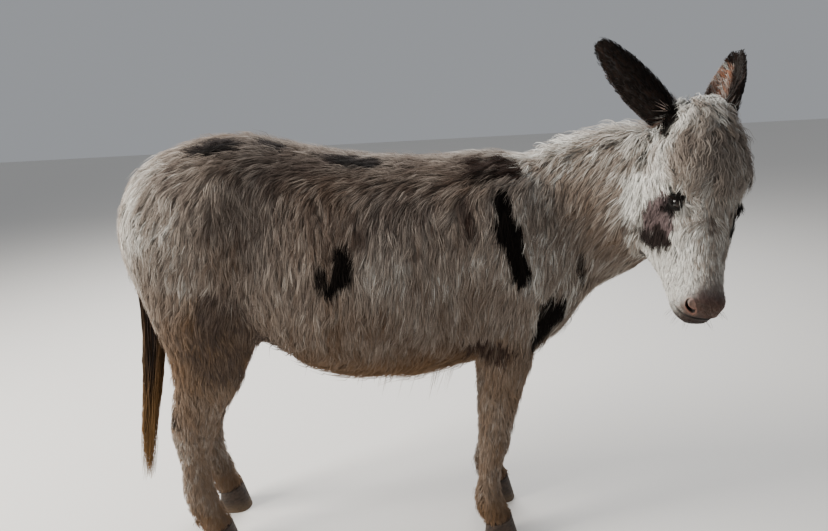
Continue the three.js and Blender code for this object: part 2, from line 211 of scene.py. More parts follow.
HEAD = Carriage(np.array([0.574, -0.182, 1.066]), turn("Z", -69) @ turn("Y", -18) @ turn("X", -11.5))
EARS = {
    Region.EAR_RIGHT: EarCarriage((-0.018, -0.054, -0.010), 44, 10, 158).carried(HEAD),
    Region.EAR_LEFT: EarCarriage((-0.018, 0.060, -0.010), 25, 10, -70).carried(HEAD),
}
EAR_CUP = 0.018  # from the ear's own axis to the middle of its cup
# The middle of the neck, where it leaves the trunk and where it meets the head.
NECK_ROOT = np.array([0.245, 0.0, 0.795])
NECK_END = np.array([0.548, -0.118, 0.938])


# ---- markings
class Tone(Enum):
    """The colours of the hair, the bare skin, the eyes and the hooves."""

    CREAM = "e2e0d8"
    BEIGE = "8f847a"
    ROAN = "4f443e"
    WARM = "7a5f46"
    GOLD = "84643f"
    BROWN = "3a2d27"
    MAUVE = "665857"
    CHARCOAL = "2b2422"
    BLACK = "14100e"
    EAR_PINK = "a37158"
    MUZZLE = "5f4a41"
    LIP = "2c2421"
    GUM_PINK = "96685a"
    IRIS = "24170e"
    EYE_EDGE = "130e0c"
    HORN = "4a3b30"
    HORN_DARK = "1f1813"
    MUD = "7b664e"

    @property
    def linear(self) -> Array:
        """Returns the tone as a linear colour."""
        return srgb(self.value)


@dataclass(frozen=True)
class Patch:
    """A patch of one tone: a soft-edged band round the line between two places.

    Its reach is half its width in metres. Ragged sets how far its edge wanders, as a share of that.
    """

    start: tuple[float, float, float]
    end: tuple[float, float, float]
    reach: float
    tone: Tone
    strength: float = 1.0
    ragged: float = 0.35
    on_head: bool = False

    def share(self, points: Array) -> Array:
        """Returns how much of the patch's tone each place of the donkey's frame has."""
        own = HEAD.inwards(points) if self.on_head else points
        start, end = np.array(self.start), np.array(self.end)
        way = end - start
        along = np.clip((own - start) @ way / max(way @ way, 1e-9), 0, 1)
        gap = np.linalg.norm(own - start - along[:, None] * way, axis=1)
        gap += noise(points, self.reach * 0.6, 3) * self.reach * self.ragged
        gap += noise(points, 0.008, 4) * self.reach * self.ragged * 0.6
        return self.strength * (1 - ramp(gap, self.reach * 0.72, self.reach * 1.12))


BODY_PATCHES = (
    # the right side, front to back
    Patch((0.173, -0.145, 0.915), (0.182, -0.172, 0.850), 0.021, Tone.BLACK),
    Patch((0.179, -0.176, 0.860), (0.203, -0.181, 0.775), 0.031, Tone.BLACK),
    Patch((0.205, -0.181, 0.775), (0.214, -0.179, 0.735), 0.021, Tone.BLACK),
    Patch((0.130, -0.085, 0.978), (0.190, -0.085, 0.975), 0.038, Tone.BROWN, 1.0, 0.5),
    Patch((0.118, -0.112, 0.962), (0.150, -0.105, 0.965), 0.022, Tone.BLACK, 0.7, 0.6),
    Patch((0.088, -0.160, 0.910), (0.100, -0.186, 0.845), 0.018, Tone.ROAN, 0.95, 0.6),
    Patch((0.098, -0.175, 0.880), (0.102, -0.186, 0.855), 0.013, Tone.BROWN, 0.8, 0.6),
    Patch((0.352, -0.127, 0.760), (0.362, -0.110, 0.700), 0.014, Tone.BLACK, 0.9),
    Patch((0.298, -0.143, 0.655), (0.262, -0.135, 0.580), 0.038, Tone.BLACK, 1.0),
    Patch((0.105, -0.150, 0.560), (0.160, -0.155, 0.550), 0.030, Tone.BROWN, 0.95, 0.6),
    Patch((-0.178, -0.214, 0.815), (-0.178, -0.220, 0.765), 0.024, Tone.BLACK),
    Patch((-0.185, -0.220, 0.772), (-0.205, -0.220, 0.745), 0.022, Tone.BLACK),
    Patch((-0.228, -0.216, 0.790), (-0.226, -0.218, 0.752), 0.018, Tone.BLACK, 0.9),
    Patch((-0.190, -0.060, 1.015), (-0.112, -0.065, 0.998), 0.036, Tone.CHARCOAL, 1.0, 0.5),
    Patch((-0.180, -0.080, 1.000), (-0.125, -0.082, 0.990), 0.022, Tone.BLACK, 0.9, 0.7),
    Patch((-0.350, -0.045, 1.056), (-0.325, -0.040, 1.050), 0.026, Tone.CHARCOAL, 1.0, 0.6),
    Patch((-0.490, -0.095, 1.050), (-0.432, -0.085, 1.058), 0.032, Tone.CHARCOAL, 1.0, 0.6),
    Patch((-0.485, -0.108, 1.044), (-0.430, -0.098, 1.052), 0.020, Tone.BLACK, 0.9, 0.7),
    Patch((-0.545, -0.125, 1.010), (-0.550, -0.140, 0.990), 0.022, Tone.ROAN, 0.9, 0.6),
    # a darker stifle: partly the coat's own, partly painted shade in the fold between the thigh and the
    # belly
    Patch((-0.482, -0.187, 0.660), (-0.461, -0.148, 0.550), 0.075, Tone.ROAN, 0.75, 0.7),
    Patch((-0.645, -0.120, 0.405), (-0.640, -0.120, 0.385), 0.024, Tone.BLACK, 0.85, 0.5),
    # the left side, which has its own
    Patch((0.190, 0.150, 0.905), (0.205, 0.180, 0.790), 0.024, Tone.BLACK),
    Patch((0.030, 0.195, 0.700), (0.010, 0.200, 0.660), 0.030, Tone.BLACK, 0.9),
    Patch((-0.300, 0.205, 0.860), (-0.330, 0.205, 0.800), 0.034, Tone.BROWN, 0.9, 0.5),
    Patch((-0.560, 0.150, 0.960), (-0.590, 0.165, 0.900), 0.030, Tone.BROWN, 0.8, 0.6),
    Patch((-0.050, 0.070, 0.995), (0.020, 0.080, 0.985), 0.034, Tone.BROWN, 0.8, 0.6),
    Patch((0.400, 0.060, 0.940), (0.380, 0.080, 0.880), 0.020, Tone.BROWN, 0.7, 0.6),
    # a darker stifle: partly the coat's own, partly painted shade in the fold between the thigh and the
    # belly
    Patch((-0.520, 0.190, 0.620), (-0.500, 0.160, 0.540), 0.060, Tone.ROAN, 0.7, 0.7),
)
HEAD_PATCHES = (
    Patch((-0.092, -0.084, -0.130), (-0.112, -0.070, -0.215), 0.034, Tone.CREAM, 0.9, 0.3, True),
    Patch((-0.070, -0.078, -0.196), (-0.014, -0.082, -0.188), 0.030, Tone.MAUVE, 1.0, 0.35, True),
    Patch((-0.056, -0.074, -0.212), (-0.022, -0.074, -0.222), 0.028, Tone.MAUVE, 1.0, 0.4, True),
    Patch((-0.098, -0.068, -0.198), (-0.128, -0.054, -0.222), 0.027, Tone.ROAN, 0.75, 0.7, True),
    Patch((-0.102, -0.060, -0.236), (-0.066, -0.061, -0.252), 0.027, Tone.CHARCOAL, 1.0, 0.3, True),
    Patch((-0.046, -0.069, -0.234), (-0.034, -0.066, -0.254), 0.020, Tone.CHARCOAL, 1.0, 0.3, True),
    Patch((-0.084, -0.076, -0.176), (-0.060, -0.079, -0.200), 0.010, Tone.CHARCOAL, 0.5, 0.8, True),
    Patch((0.010, -0.077, -0.174), (-0.004, -0.080, -0.192), 0.021, Tone.BLACK, 1.0, 0.35, True),
    Patch((0.044, -0.018, -0.222), (0.040, -0.016, -0.245), 0.010, Tone.ROAN, 0.55, 0.6, True),
    Patch((0.024, 0.052, -0.182), (0.020, 0.050, -0.240), 0.024, Tone.BLACK, 1.0, 0.4, True),
    Patch((-0.086, -0.072, -0.060), (-0.090, -0.072, -0.078), 0.012, Tone.BLACK, 0.8, 0.6, True),
    Patch((-0.020, -0.070, -0.030), (-0.010, -0.060, -0.020), 0.022, Tone.BLACK, 0.9, 0.6, True),
    Patch((-0.020, 0.072, -0.030), (0.000, 0.066, -0.022), 0.022, Tone.BLACK, 0.8, 0.6, True),
)


@dataclass(frozen=True)
class Markings:
    """The colour of the hair at any place: cream mixed with darker hairs, the dark patches, and some
    painted light and shade.
    """

    patches: tuple[Patch, ...] = BODY_PATCHES + HEAD_PATCHES

    @staticmethod
    def dark_share(points: Array, regions: Array) -> Array:
        """Works out how much dark hair is mixed into the cream, with some painted shade and a painted
        highlight in it.

        Args:
            points: places in the donkey's frame.
            regions: how much each place belongs to each region.

        Returns:
            A number from 0, all cream, to 1, all dark.
        """
        x, _, z = points.T
        own = HEAD.inwards(points)
        # dark over the saddle and the loins
        trunk = 0.60 + 0.20 * hump(x, -0.04, 0.30) * ramp(z, 0.76, 0.90)
        trunk += 0.14 * hump(x, -0.30, 0.16) * ramp(z, 0.80, 1.0)
        # pale on the rump, dark along the belly and in the flank, paler on the shoulder; the dark along
        # the belly and low in the flank is partly the coat's own and partly painted shade on the lower
        # side
        trunk -= 0.22 * ramp(-x, 0.44, 0.70)
        trunk += 0.30 * (1 - ramp(z, 0.50, 0.62)) + 0.22 * hump(z, 0.64, 0.07) * hump(x, -0.19, 0.15)
        trunk -= 0.14 * hump(x, 0.27, 0.11)
        # a pale line along the spine, a painted highlight where light falls along the topline
        trunk -= 0.45 * ramp(z, 0.985, 1.03 + 0.05 * ramp(-x, 0.1, 0.3)) * hump(x, 0.0, 0.30)
        # darker wool on the forehead, pale at the poll, and darker down the front of the face, there
        # partly the hair's own and partly painted shade on the front of the face, turned from the light
        head = 0.10 + 0.20 * ramp(own[:, 2], -0.19, -0.09) + 0.30 * ramp(own[:, 0], -0.02, 0.06)
        head -= 0.18 * ramp(own[:, 2], -0.06, -0.02)
        behind = ramp(-x, 0.58, 0.67) * ramp(z, 0.55, 0.70)  # the back of the thigh
        shares = {
            Region.TRUNK: trunk,
            # the neck is paler at the crest and darker low down and towards the head: partly the coat's
            # own, partly painted shade under the jaw and low on the neck
            Region.NECK: 0.52 - 0.26 * ramp(z, 0.90, 1.0) + 0.10 * ramp(x, 0.42, 0.52),
            Region.HEAD: head,
            Region.EAR_RIGHT: np.full(len(x), 0.5),
            Region.EAR_LEFT: np.full(len(x), 0.5),
            Region.UPPER_LEG: 0.57 + 0.20 * ramp(-x, 0.2, 0.45) * ramp(z, 0.40, 0.6) - 0.42 * behind,
            Region.LOWER_LEG: 0.52 + 0.3 * (1 - ramp(z, 0.09, 0.16)),
            Region.DOCK: np.full(len(x), 0.75),
        }
        share = sum(regions[:, region.value] * value for region, value in shares.items())
        swell = noise(points, 0.11, 11) * 0.14 + noise(points * (1, 1, 0.45), 0.030, 12) * 0.10
        swell += noise(points * (1, 1, 0.35), 0.011, 14) * 0.07
        calm = 0.6 * regions[:, Region.HEAD.value] + 0.45 * regions[:, LEG_COLUMNS].sum(axis=1)
        return np.clip(share + swell * (1 - calm), 0, 1)

    @staticmethod
    def warmth(points: Array, regions: Array) -> Array:
        """Returns how brown, rather than grey, the dark hairs are, with painted warm light along the
        belly.
        """
        x, _, z = points.T
        thigh_back = ramp(-x, 0.52, 0.64) * ramp(z, 0.52, 0.68)
        legs = regions[:, LEG_COLUMNS].sum(axis=1) * (1 - 0.7 * thigh_back)
        # painted warm light along the underside of the belly
        belly = (1 - ramp(z, 0.50, 0.60)) * regions[:, Region.TRUNK.value]
        low = (1 - ramp(z, 0.62, 0.84)) * regions[:, Region.TRUNK.value]
        neck = regions[:, Region.NECK.value]
        warm = 0.12 + 0.75 * legs + 0.6 * belly + 0.25 * low + 0.18 * neck
        return np.clip(warm + noise(points, 0.09, 13) * 0.15, 0, 1)

    def colours(
        self, points: Array, regions: Array, ears: Array, spread: Array
    ) -> Array:
        """Colours the hair.

        Args:
            points: places in the donkey's frame.
            regions: how much each place belongs to each region.
            ears: how much each place is on the open side of an ear.
            spread: a number from -1 to 1 that sets each hair off from its neighbours.

        Returns:
            A linear colour for each place.
        """
        own_shade = spread * (0.24 - 0.07 * regions[:, LEG_COLUMNS].sum(axis=1))
        dark = np.clip(self.dark_share(points, regions) + own_shade, 0, 1)[:, None]
        warm = self.warmth(points, regions)[:, None]
        deep = mix(Tone.ROAN.linear, Tone.WARM.linear, warm)
        middle = mix(Tone.BEIGE.linear, Tone.WARM.linear, warm * 0.6)
        colour = mix(Tone.CREAM.linear, middle, ramp(dark, 0.0, 0.55))
        colour = mix(colour, deep, ramp(dark, 0.45, 1.0))
        ear = regions[:, EAR_COLUMNS].sum(axis=1)[:, None]
        colour = mix(colour, self.ear_colour(points, regions, ears, spread), ramp(ear, 0.10, 0.5))
        for patch in self.patches:
            share = patch.share(points)
            share = np.clip(share + (spread - 0.15) * 0.5 * (share > 0.02) * (share < 0.98), 0, 1)
            colour = mix(colour, patch.tone.linear * (1 + 0.25 * spread[:, None]), share[:, None])
        dock = regions[:, Region.DOCK.value] * (1 - ramp(points[:, 2], 0.80, 0.93))
        colour = mix(colour, Tone.BROWN.linear * 0.6, dock[:, None])
        return mix(colour, self.muzzle_colour(points, spread), self.muzzle(points, regions)[:, None])

    @staticmethod
    def ear_colour(
        points: Array, regions: Array, ears: Array, spread: Array
    ) -> Array:
        """Returns the ears' colour: near black outside, pale inside, with a dark rim and tip, the rim
        inside the cup darker still as painted shade.
        """
        open_side = ears.copy()
        brown = np.zeros(len(points))
        for region, ear in EARS.items():
            own = ear.inwards(points)
            outer = 1 if region is Region.EAR_LEFT else -1
            round_axis = outer * np.degrees(np.arctan2(own[:, 1], EAR_CUP - own[:, 0]))
            rim = np.maximum(ramp(round_axis, -28, 8), 0.7 * ramp(-round_axis, 78, 96))
            rim = np.maximum(rim, ramp(own[:, 2] + 0.02 * noise(points, 0.02, 17), 0.165, 0.195))
            open_side *= 1 - 0.97 * rim * regions[:, region.value]
            brown += ramp(np.abs(round_axis), 70, 100) * regions[:, region.value]
        dark = np.clip(0.12 + 0.5 * brown + spread * 0.4, 0, 1)[:, None]
        # painted shade: the dark rim inside each cup is darkened further
        outside = mix(Tone.BLACK.linear, Tone.BROWN.linear, dark) * (1 - 0.65 * ears[:, None])
        pale = np.clip(0.45 + spread, 0, 1)[:, None]
        inside = mix(Tone.EAR_PINK.linear, Tone.CREAM.linear * 0.8, pale)
        return mix(outside, inside, open_side[:, None])

    @staticmethod
    def muzzle(points: Array, regions: Array) -> Array:
        """Returns how much of each place has the muzzle's own colour."""
        own = HEAD.inwards(points)
        aside = np.maximum(np.abs(own[:, 1]) - 0.025, 0)
        down = -own[:, 2] + 0.5 * own[:, 0] - 0.60 * aside + noise(points, 0.014, 15) * 0.010
        return ramp(down, 0.330, 0.386) * regions[:, Region.HEAD.value]

    @staticmethod
    def muzzle_colour(points: Array, spread: Array) -> Array:
        """Returns the mottled colour of the nose and the dark lips."""
        own = HEAD.inwards(points)
        mottle = np.clip(0.35 + 0.5 * noise(points, 0.012, 16) + 0.3 * spread, 0, 1)[:, None]
        nose = mix(Tone.MUZZLE.linear, Tone.ROAN.linear, mottle)
        nose = mix(nose, Tone.MAUVE.linear * 0.9, ramp(own[:, 2], -0.385, -0.362)[:, None] * 0.6)
        lip = ramp(-MOUTH.gap(own)[:, 0], -0.009, 0.0)
        return mix(nose, Tone.LIP.linear, lip[:, None] * 0.9)


# ---- materials
def add_node(
    tree: bpy.types.NodeTree,
    kind: str,
    inputs: dict[str | int, object] | None = None,
    **settings: object,
) -> bpy.types.Node:
    """Adds a node to a tree.

    Args:
        tree: the tree it goes into.
        kind: the node's type.
        inputs: a value, or the output that it is linked to, for each socket by name or number.
        settings: the node's own settings.

    Returns:
        The new node.
    """
    node = tree.nodes.new(kind)
    for name, value in settings.items():
        setattr(node, name, value)
    for key, value in (inputs or {}).items():
        if isinstance(value, bpy.types.NodeSocket):
            tree.links.new(value, node.inputs[key])
        else:
            node.inputs[key].default_value = value
    return node


@dataclass(frozen=True)
class Finish:
    """A surface whose colour is stored in the mesh, broken up by a grain and a fine bump.

    Grain is the width of the grain in millimetres; stretch draws it out along the vertical. Contrast
    is how much lighter and darker it makes the colour.
    """

    name: str
    roughness: float
    specular: float = 0.3
    sheen: float = 0.0
    coat: float = 0.0
    grain: float = 1.2
    stretch: float = 1.0
    contrast: float = 0.2
    bump: float = 0.2
    colour: str = "coat"
    subsurface: float = 0.0

    def material(self) -> bpy.types.Material:
        """Returns the finish as a material."""
        material = bpy.data.materials.new(self.name)
        material.use_nodes = True
        tree = material.node_tree
        tree.nodes.clear()
        add = partial(add_node, tree)
        place = add("ShaderNodeTexCoord")
        scale = (1.0, 1.0, 1.0 / self.stretch)
        drawn = add("ShaderNodeMapping", {"Vector": place.outputs["Object"], "Scale": scale})
        size = 1 / (self.grain * MM)
        grain = add(
            "ShaderNodeTexNoise", {"Vector": drawn.outputs["Vector"], "Scale": size, "Detail": 3.0}
        )
        low, high = 1 - self.contrast, 1 + self.contrast
        shade = add(
            "ShaderNodeMapRange",
            {
                "Value": grain.outputs["Fac"],
                "From Min": 0.3,
                "From Max": 0.7,
                "To Min": low,
                "To Max": high,
            },
        )
        hue = add("ShaderNodeAttribute", attribute_name=self.colour)
        tint = add(
            "ShaderNodeVectorMath",
            {0: hue.outputs["Color"], "Scale": shade.outputs["Result"]},
            operation="SCALE",
        )
        bump = add(
            "ShaderNodeBump",
            {"Height": grain.outputs["Fac"], "Strength": self.bump, "Distance": self.grain * MM},
        )
        shader = add(
            "ShaderNodeBsdfPrincipled",
            {
                "Base Color": tint.outputs["Vector"],
                "Normal": bump.outputs["Normal"],
                "Roughness": self.roughness,
                "Specular IOR Level": self.specular,
                "Sheen Weight": self.sheen,
                "Sheen Roughness": 0.5,
                "Coat Weight": self.coat,
                "Coat Roughness": 0.05,
                "Subsurface Weight": self.subsurface,
                "Subsurface Scale": 4 * MM,
            },
        )
        add("ShaderNodeOutputMaterial", {"Surface": shader.outputs["BSDF"]})
        return material


# Winter hair: dry and matt, hardly glossier where light grazes it. Upright streaks 1.2 mm wide, as
# coarse as they have to be to show, break each tuft up.
HAIR = Finish(
    "winter_hair", roughness=0.8, specular=0.03, sheen=0.04, stretch=8, contrast=0.16, bump=0.1
)
# Downy skin of the muzzle, lids and nostrils: 1 mm pores, a faint gloss and a little light let through.
SKIN = Finish(
    "downy_skin", roughness=0.62, specular=0.22, grain=1.0, contrast=0.14, bump=0.35, subsurface=0.05
)
# Hoof horn: dull keratin, with growth lines 3 mm long and under 1 mm high.
HORN = Finish("hoof_horn", roughness=0.62, specular=0.35, grain=3.0, stretch=0.3, contrast=0.3, bump=0.4)
# Eyes: a wet cornea over a dark brown iris, so nearly all that shows is the gloss.
EYE = Finish("wet_eye", roughness=0.16, specular=0.4, coat=0.35, grain=0.5, contrast=0.15, bump=0.0)


# ---- meshes
def shown(name: str, data: bpy.types.ID) -> bpy.types.Object:
    """Returns a new object of the scene."""
    thing = bpy.data.objects.new(name, data)
    bpy.context.scene.collection.objects.link(thing)
    return thing


def new_piece(
    name: str,
    points: Array,
    faces: Array,
    colours: Array | None = None,
    smooth: bool = True,
) -> bpy.types.Object:
    """Makes a piece from arrays.

    Args:
        name: the piece's name.
        points: its corners in the donkey's frame.
        faces: rows of corner numbers, all of one length.
        colours: a linear colour for each corner, kept as the attribute coat.
        smooth: whether it is shaded smooth.

    Returns:
        The new object, in the scene.
    """
    mesh = bpy.data.meshes.new(name)
    count, sides = faces.shape
    mesh.vertices.add(len(points))
    mesh.vertices.foreach_set("co", (points + SHIFT).astype(np.float32).ravel())
    mesh.loops.add(faces.size)
    mesh.loops.foreach_set("vertex_index", faces.astype(np.int32).ravel())
    mesh.polygons.add(count)
    mesh.polygons.foreach_set("loop_start", np.arange(0, faces.size, sides, dtype=np.int32))
    mesh.polygons.foreach_set("loop_total", np.full(count, sides, dtype=np.int32))
    mesh.update(calc_edges=True)
    mesh.polygons.foreach_set("use_smooth", np.full(count, smooth))
    if colours is not None:
        paint(mesh, colours)
    return shown(name, mesh)


def paint(mesh: bpy.types.Mesh, colours: Array) -> None:
    """Stores a linear colour for each corner of the mesh as the attribute coat."""
    layer = mesh.color_attributes.new("coat", "FLOAT_COLOR", "POINT")
    rgba = np.ones((len(colours), 4), dtype=np.float32)
    rgba[:, :3] = np.clip(colours, 0, 1)
    layer.data.foreach_set("color", rgba.ravel())


def corners(mesh: bpy.types.Mesh) -> Array:
    """Returns the mesh's corners in the donkey's frame."""
    flat = np.empty(len(mesh.vertices) * 3, dtype=np.float32)
    mesh.vertices.foreach_get("co", flat)
    return flat.reshape(-1, 3).astype(float) - SHIFT


def triangles(mesh: bpy.types.Mesh) -> Array:
    """Returns the mesh's triangles as rows of corner numbers."""
    mesh.calc_loop_triangles()
    flat = np.empty(len(mesh.loop_triangles) * 3, dtype=np.int32)
    mesh.loop_triangles.foreach_get("vertices", flat)
    return flat.reshape(-1, 3)


def corner_normals(points: Array, faces: Array) -> Array:
    """Returns the outward direction at each corner of a mesh of triangles."""
    a, b, c = (points[faces[:, i]] for i in range(3))
    across = np.cross(b - a, c - a)
    total = np.zeros_like(points)
    for i in range(3):
        for axis in range(3):
            total[:, axis] += np.bincount(faces[:, i], across[:, axis], len(points))
    return unit(total)


def evaluated(piece: bpy.types.Object) -> bpy.types.Mesh:
    """Returns the piece's mesh with its modifiers applied."""
    graph = bpy.context.evaluated_depsgraph_get()
    return bpy.data.meshes.new_from_object(piece.evaluated_get(graph))


def bring_in(piece: bpy.types.Object, slot: str, finish: bpy.types.Material, *nodes: str) -> None:
    """Dresses a finished piece, hangs it from the root and hides the nodes that it stands for.

    Args:
        piece: the finished piece.
        slot: its material slot; not used.
        finish: its material.
        nodes: the nodes that it stands for.
    """
    if not piece.data.materials:
        piece.data.materials.append(finish)
    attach(piece, "root")
    if nodes:
        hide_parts(*nodes)
    LOG.info("%s: %d faces", piece.name, len(piece.data.polygons))


class Net:
    """The edges of a mesh, which values spread along."""

    def __init__(self, edges: Array, count: int) -> None:
        """Keeps rows of two corner numbers, for a mesh of count corners."""
        self.one, self.other = edges.T
        self.count = count
        ends = np.bincount(self.one, minlength=count) + np.bincount(self.other, minlength=count)
        self.degree = np.maximum(ends, 1)[:, None]

    @classmethod
    def of(cls, mesh: bpy.types.Mesh) -> "Net":
        """Returns the net of a mesh."""
        flat = np.empty(len(mesh.edges) * 2, dtype=np.int32)
        mesh.edges.foreach_get("vertices", flat)
        return cls(flat.reshape(-1, 2), len(mesh.vertices))

    def spread(self, values: Array, times: int, rate: float | Array = 0.5) -> Array:
        """Evens values out between neighbours.

        Args:
            values: a row for each corner.
            times: how often.
            rate: how far each corner goes towards its neighbours' mean, each time.

        Returns:
            The smoother values.
        """
        values = values.copy()
        for _ in range(times):
            mean = np.empty_like(values)
            for axis in range(values.shape[1]):
                column = values[:, axis]
                mean[:, axis] = np.bincount(self.one, column[self.other], self.count)
                mean[:, axis] += np.bincount(self.other, column[self.one], self.count)
            values += (mean / self.degree - values) * rate
        return values


# ---- features of the head
@dataclass(frozen=True)
class Socket:
    """One eye's place in the head's frame, and its lids.

    The slit reaches wide degrees to either corner, and upper and lower degrees over and under its
    middle. The lids are lid thick, and gather the skin up to edge away, which lies turn degrees round.
    """

    side: int
    radius: float = 0.0172
    lid: float = 0.0024
    sink: float = 0.009
    drop: float = 0.008
    wide: float = 50.0
    upper: float = 22.0
    lower: float = 16.0
    edge: float = 0.024
    turn: float = 84.0

    @property
    def middle(self) -> Array:
        """Returns the middle of the eyeball in the head's frame."""
        low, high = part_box("eye_right" if self.side < 0 else "eye_left")
        centre = HEAD.inwards(np.array((low + high) / 2) - SHIFT)
        return centre - np.array([0.0, self.side * self.sink, self.drop])

    @property
    def axes(self) -> Array:
        """Returns the inner corner's, the upper lid's and the outward directions, as columns."""
        out = unit(np.array([0.22, self.side * 0.96, -0.10]))
        inner = np.array([0.62, 0.0, -0.78])
        inner = unit(inner - out * (inner @ out))
        upper = np.cross(out, inner) * -self.side
        return np.stack([inner, upper, out], axis=1)

    @staticmethod
    def angles(ways: Array) -> tuple[Array, Array]:
        """Returns the angles along and across the slit of directions in the socket's own axes."""
        ahead = np.maximum(ways[:, 2], 1e-4)
        return np.degrees(np.arctan2(ways[:, 0], ahead)), np.degrees(np.arctan2(ways[:, 1], ahead))

    def margin(self, along: Array, across: Array) -> Array:
        """Returns how far outside the slit each direction is, in metres; inside is negative."""
        reach = np.clip(1 - (along / self.wide) ** 2, 0, 1) ** 0.7
        outside = np.abs(across) - np.where(across > 0, self.upper, self.lower) * reach
        beyond = np.maximum(np.abs(along) - self.wide, 0)
        return np.radians(np.hypot(outside, beyond) * np.sign(outside + beyond)) * self.radius

    def shaped(self, points: Array) -> Array:
        """Returns the head's points, wrapped over the ball as lids with a slit between them."""
        own = (points - self.middle) @ self.axes
        aside = np.hypot(own[:, 0], own[:, 1])
        off = np.radians(self.turn) * aside / self.edge
        level = own[:, :2] / np.maximum(aside, 1e-6)[:, None]
        ways = np.column_stack([level * np.sin(off)[:, None], np.cos(off)])
        gap = self.margin(*self.angles(ways))
        # a thicker rim to the lids, and a crease behind it
        lid = self.radius + self.lid + 0.0008 * hump(gap, 0.0016, 0.0016)
        upper = own[:, 1] > 0
        lid -= 0.0016 * hump(gap, 0.0075, 0.0018) * upper
        lid -= 0.0010 * hump(gap, 0.0065, 0.0016) * ~upper
        reach = mix(np.full(len(points), self.radius - 0.003), lid, ramp(gap, -0.0007, 0.0005))
        hold = (1 - ramp(aside, 0.8 * self.edge, 1.35 * self.edge)) * (own[:, 2] > -0.02)
        moved = own + (ways * reach[:, None] - own) * hold[:, None]
        return self.middle + moved @ self.axes.T

    def near(self, points: Array, close: float = 0.0025, far: float = 0.0075) -> Array:
        """Returns how near each of the head's points is to the slit: 1 when close, 0 when far."""
        own = (points - self.middle) @ self.axes
        gap = self.margin(*self.angles(own))
        return (1 - ramp(gap, close, far)) * (own[:, 2] > 0) * (np.linalg.norm(own, axis=1) < 0.035)


@dataclass(frozen=True)
class Nostril:
    """One nostril in the head's frame: a comma round a fleshy wing.

    Middle and out are where it opens and which way, half is half its oval's width and height, and wing
    is the wing's place across and up, and half its width and height.
    """

    side: int
    middle: tuple[float, float, float] = (0.009, 0.041, -0.385)
    out: tuple[float, float, float] = (0.62, 0.78, -0.05)
    half: tuple[float, float] = (0.0088, 0.0145)
    wing: tuple[float, float, float, float] = (0.0055, 0.0040, 0.0080, 0.0100)
    depth: float = 0.016

    def flat(self, points: Array) -> Array:
        """Returns the head's points as inwards to the nose's middle, up, and out of the nostril."""
        mirror = np.array([1, self.side, 1])
        out = unit(np.array(self.out) * mirror)
        up = np.array([0.0, 0.0, 1.0])
        up = unit(up - out * (up @ out))
        inner = np.cross(out, up) * self.side
        return (points - np.array(self.middle) * mirror) @ np.stack([inner, up, out], axis=1)

    def gap(self, own: Array) -> Array:
        """Returns how far outside the opening each place is; inside is negative."""
        u, v = own[:, 0], own[:, 1]
        u = u - 0.35 * np.maximum(-v, 0)
        oval = (np.hypot(u / self.half[0], v / self.half[1]) - 1) * self.half[0]
        across, up, wide, high = self.wing
        wing = (1 - np.hypot((u - across) / wide, (v - up) / high)) * wide
        return np.maximum(oval, wing)

    def shaped(self, points: Array) -> Array:
        """Returns the head's points with the nostril sunk and its rim raised."""
        own = self.flat(points)
        gap = self.gap(own)
        here = (np.abs(own[:, 2]) < 0.022) * (np.hypot(own[:, 0], own[:, 1]) < 0.03)
        sink = self.depth * (1 - ramp(gap, -0.0042, 0.0004))
        rim = 0.0022 * hump(gap, 0.0018, 0.0026)
        out = unit(np.array(self.out) * (1, self.side, 1))
        inward = unit(np.array([-0.45, -0.35 * self.side, 0.55]))
        return points + (here * rim)[:, None] * out + (here * sink)[:, None] * inward

    def near(self, points: Array, reach: float = 0.012) -> Array:
        """Returns 1 in the opening and at its edge, falling to 0 at reach."""
        own = self.flat(points)
        return (1 - ramp(self.gap(own), 0.0, reach)) * (np.abs(own[:, 2]) < 0.03)


@dataclass(frozen=True)
class Mouth:
    """The line between the lips, in the head's frame: a flat cut from the front to the corners."""

    front: tuple[float, float] = (0.004, -0.4095)
    corner: tuple[float, float] = (-0.044, -0.374)
    depth: float = 0.0034

    def gap(self, points: Array) -> Array:
        """Returns each place's height over the line, and how much of the line is there."""
        front, corner = np.array(self.front), np.array(self.corner)
        way = corner - front
        length = np.linalg.norm(way)
        way = way / length
        own = points[:, [0, 2]] - front
        along = own @ way
        bow = 0.004 * np.sin(np.clip(along / length, 0, 1) * math.pi)
        over = own @ np.array([way[1], -way[0]]) + bow
        return np.stack([over, 1 - ramp(along, length - 0.008, length)], axis=1)

    def shaped(self, points: Array, normals: Array) -> Array:
        """Returns the head's points with the line pressed in, and the lower lip set back."""
        over, here = self.gap(points).T
        here = here * (points[:, 2] < -0.33)
        press = self.depth * hump(over, 0, 0.0022) - 0.0012 * hump(over, 0.0045, 0.003)
        press += 0.0015 * hump(over, -0.006, 0.005)
        return points - normals * (press * here)[:, None]

    def near(self, points: Array) -> Array:
        """Returns 1 on the line, falling to 0 at 7 mm."""
        over, here = self.gap(points).T
        return here * (points[:, 2] < -0.33) * (1 - ramp(np.abs(over), 0.002, 0.008))


SOCKETS = (Socket(-1), Socket(1))
NOSTRILS = (Nostril(-1), Nostril(1))
MOUTH = Mouth()


# ---- the skin
# Down the head in metres: how deep the skin lies, in millimetres.
HEAD_DEPTH = np.array(
    [(-0.05, 16), (0.06, 17), (0.11, 17), (0.15, 10), (0.19, 6)]
    + [(0.25, 6), (0.31, 4.5), (0.36, 2), (0.39, 0.8)]
)


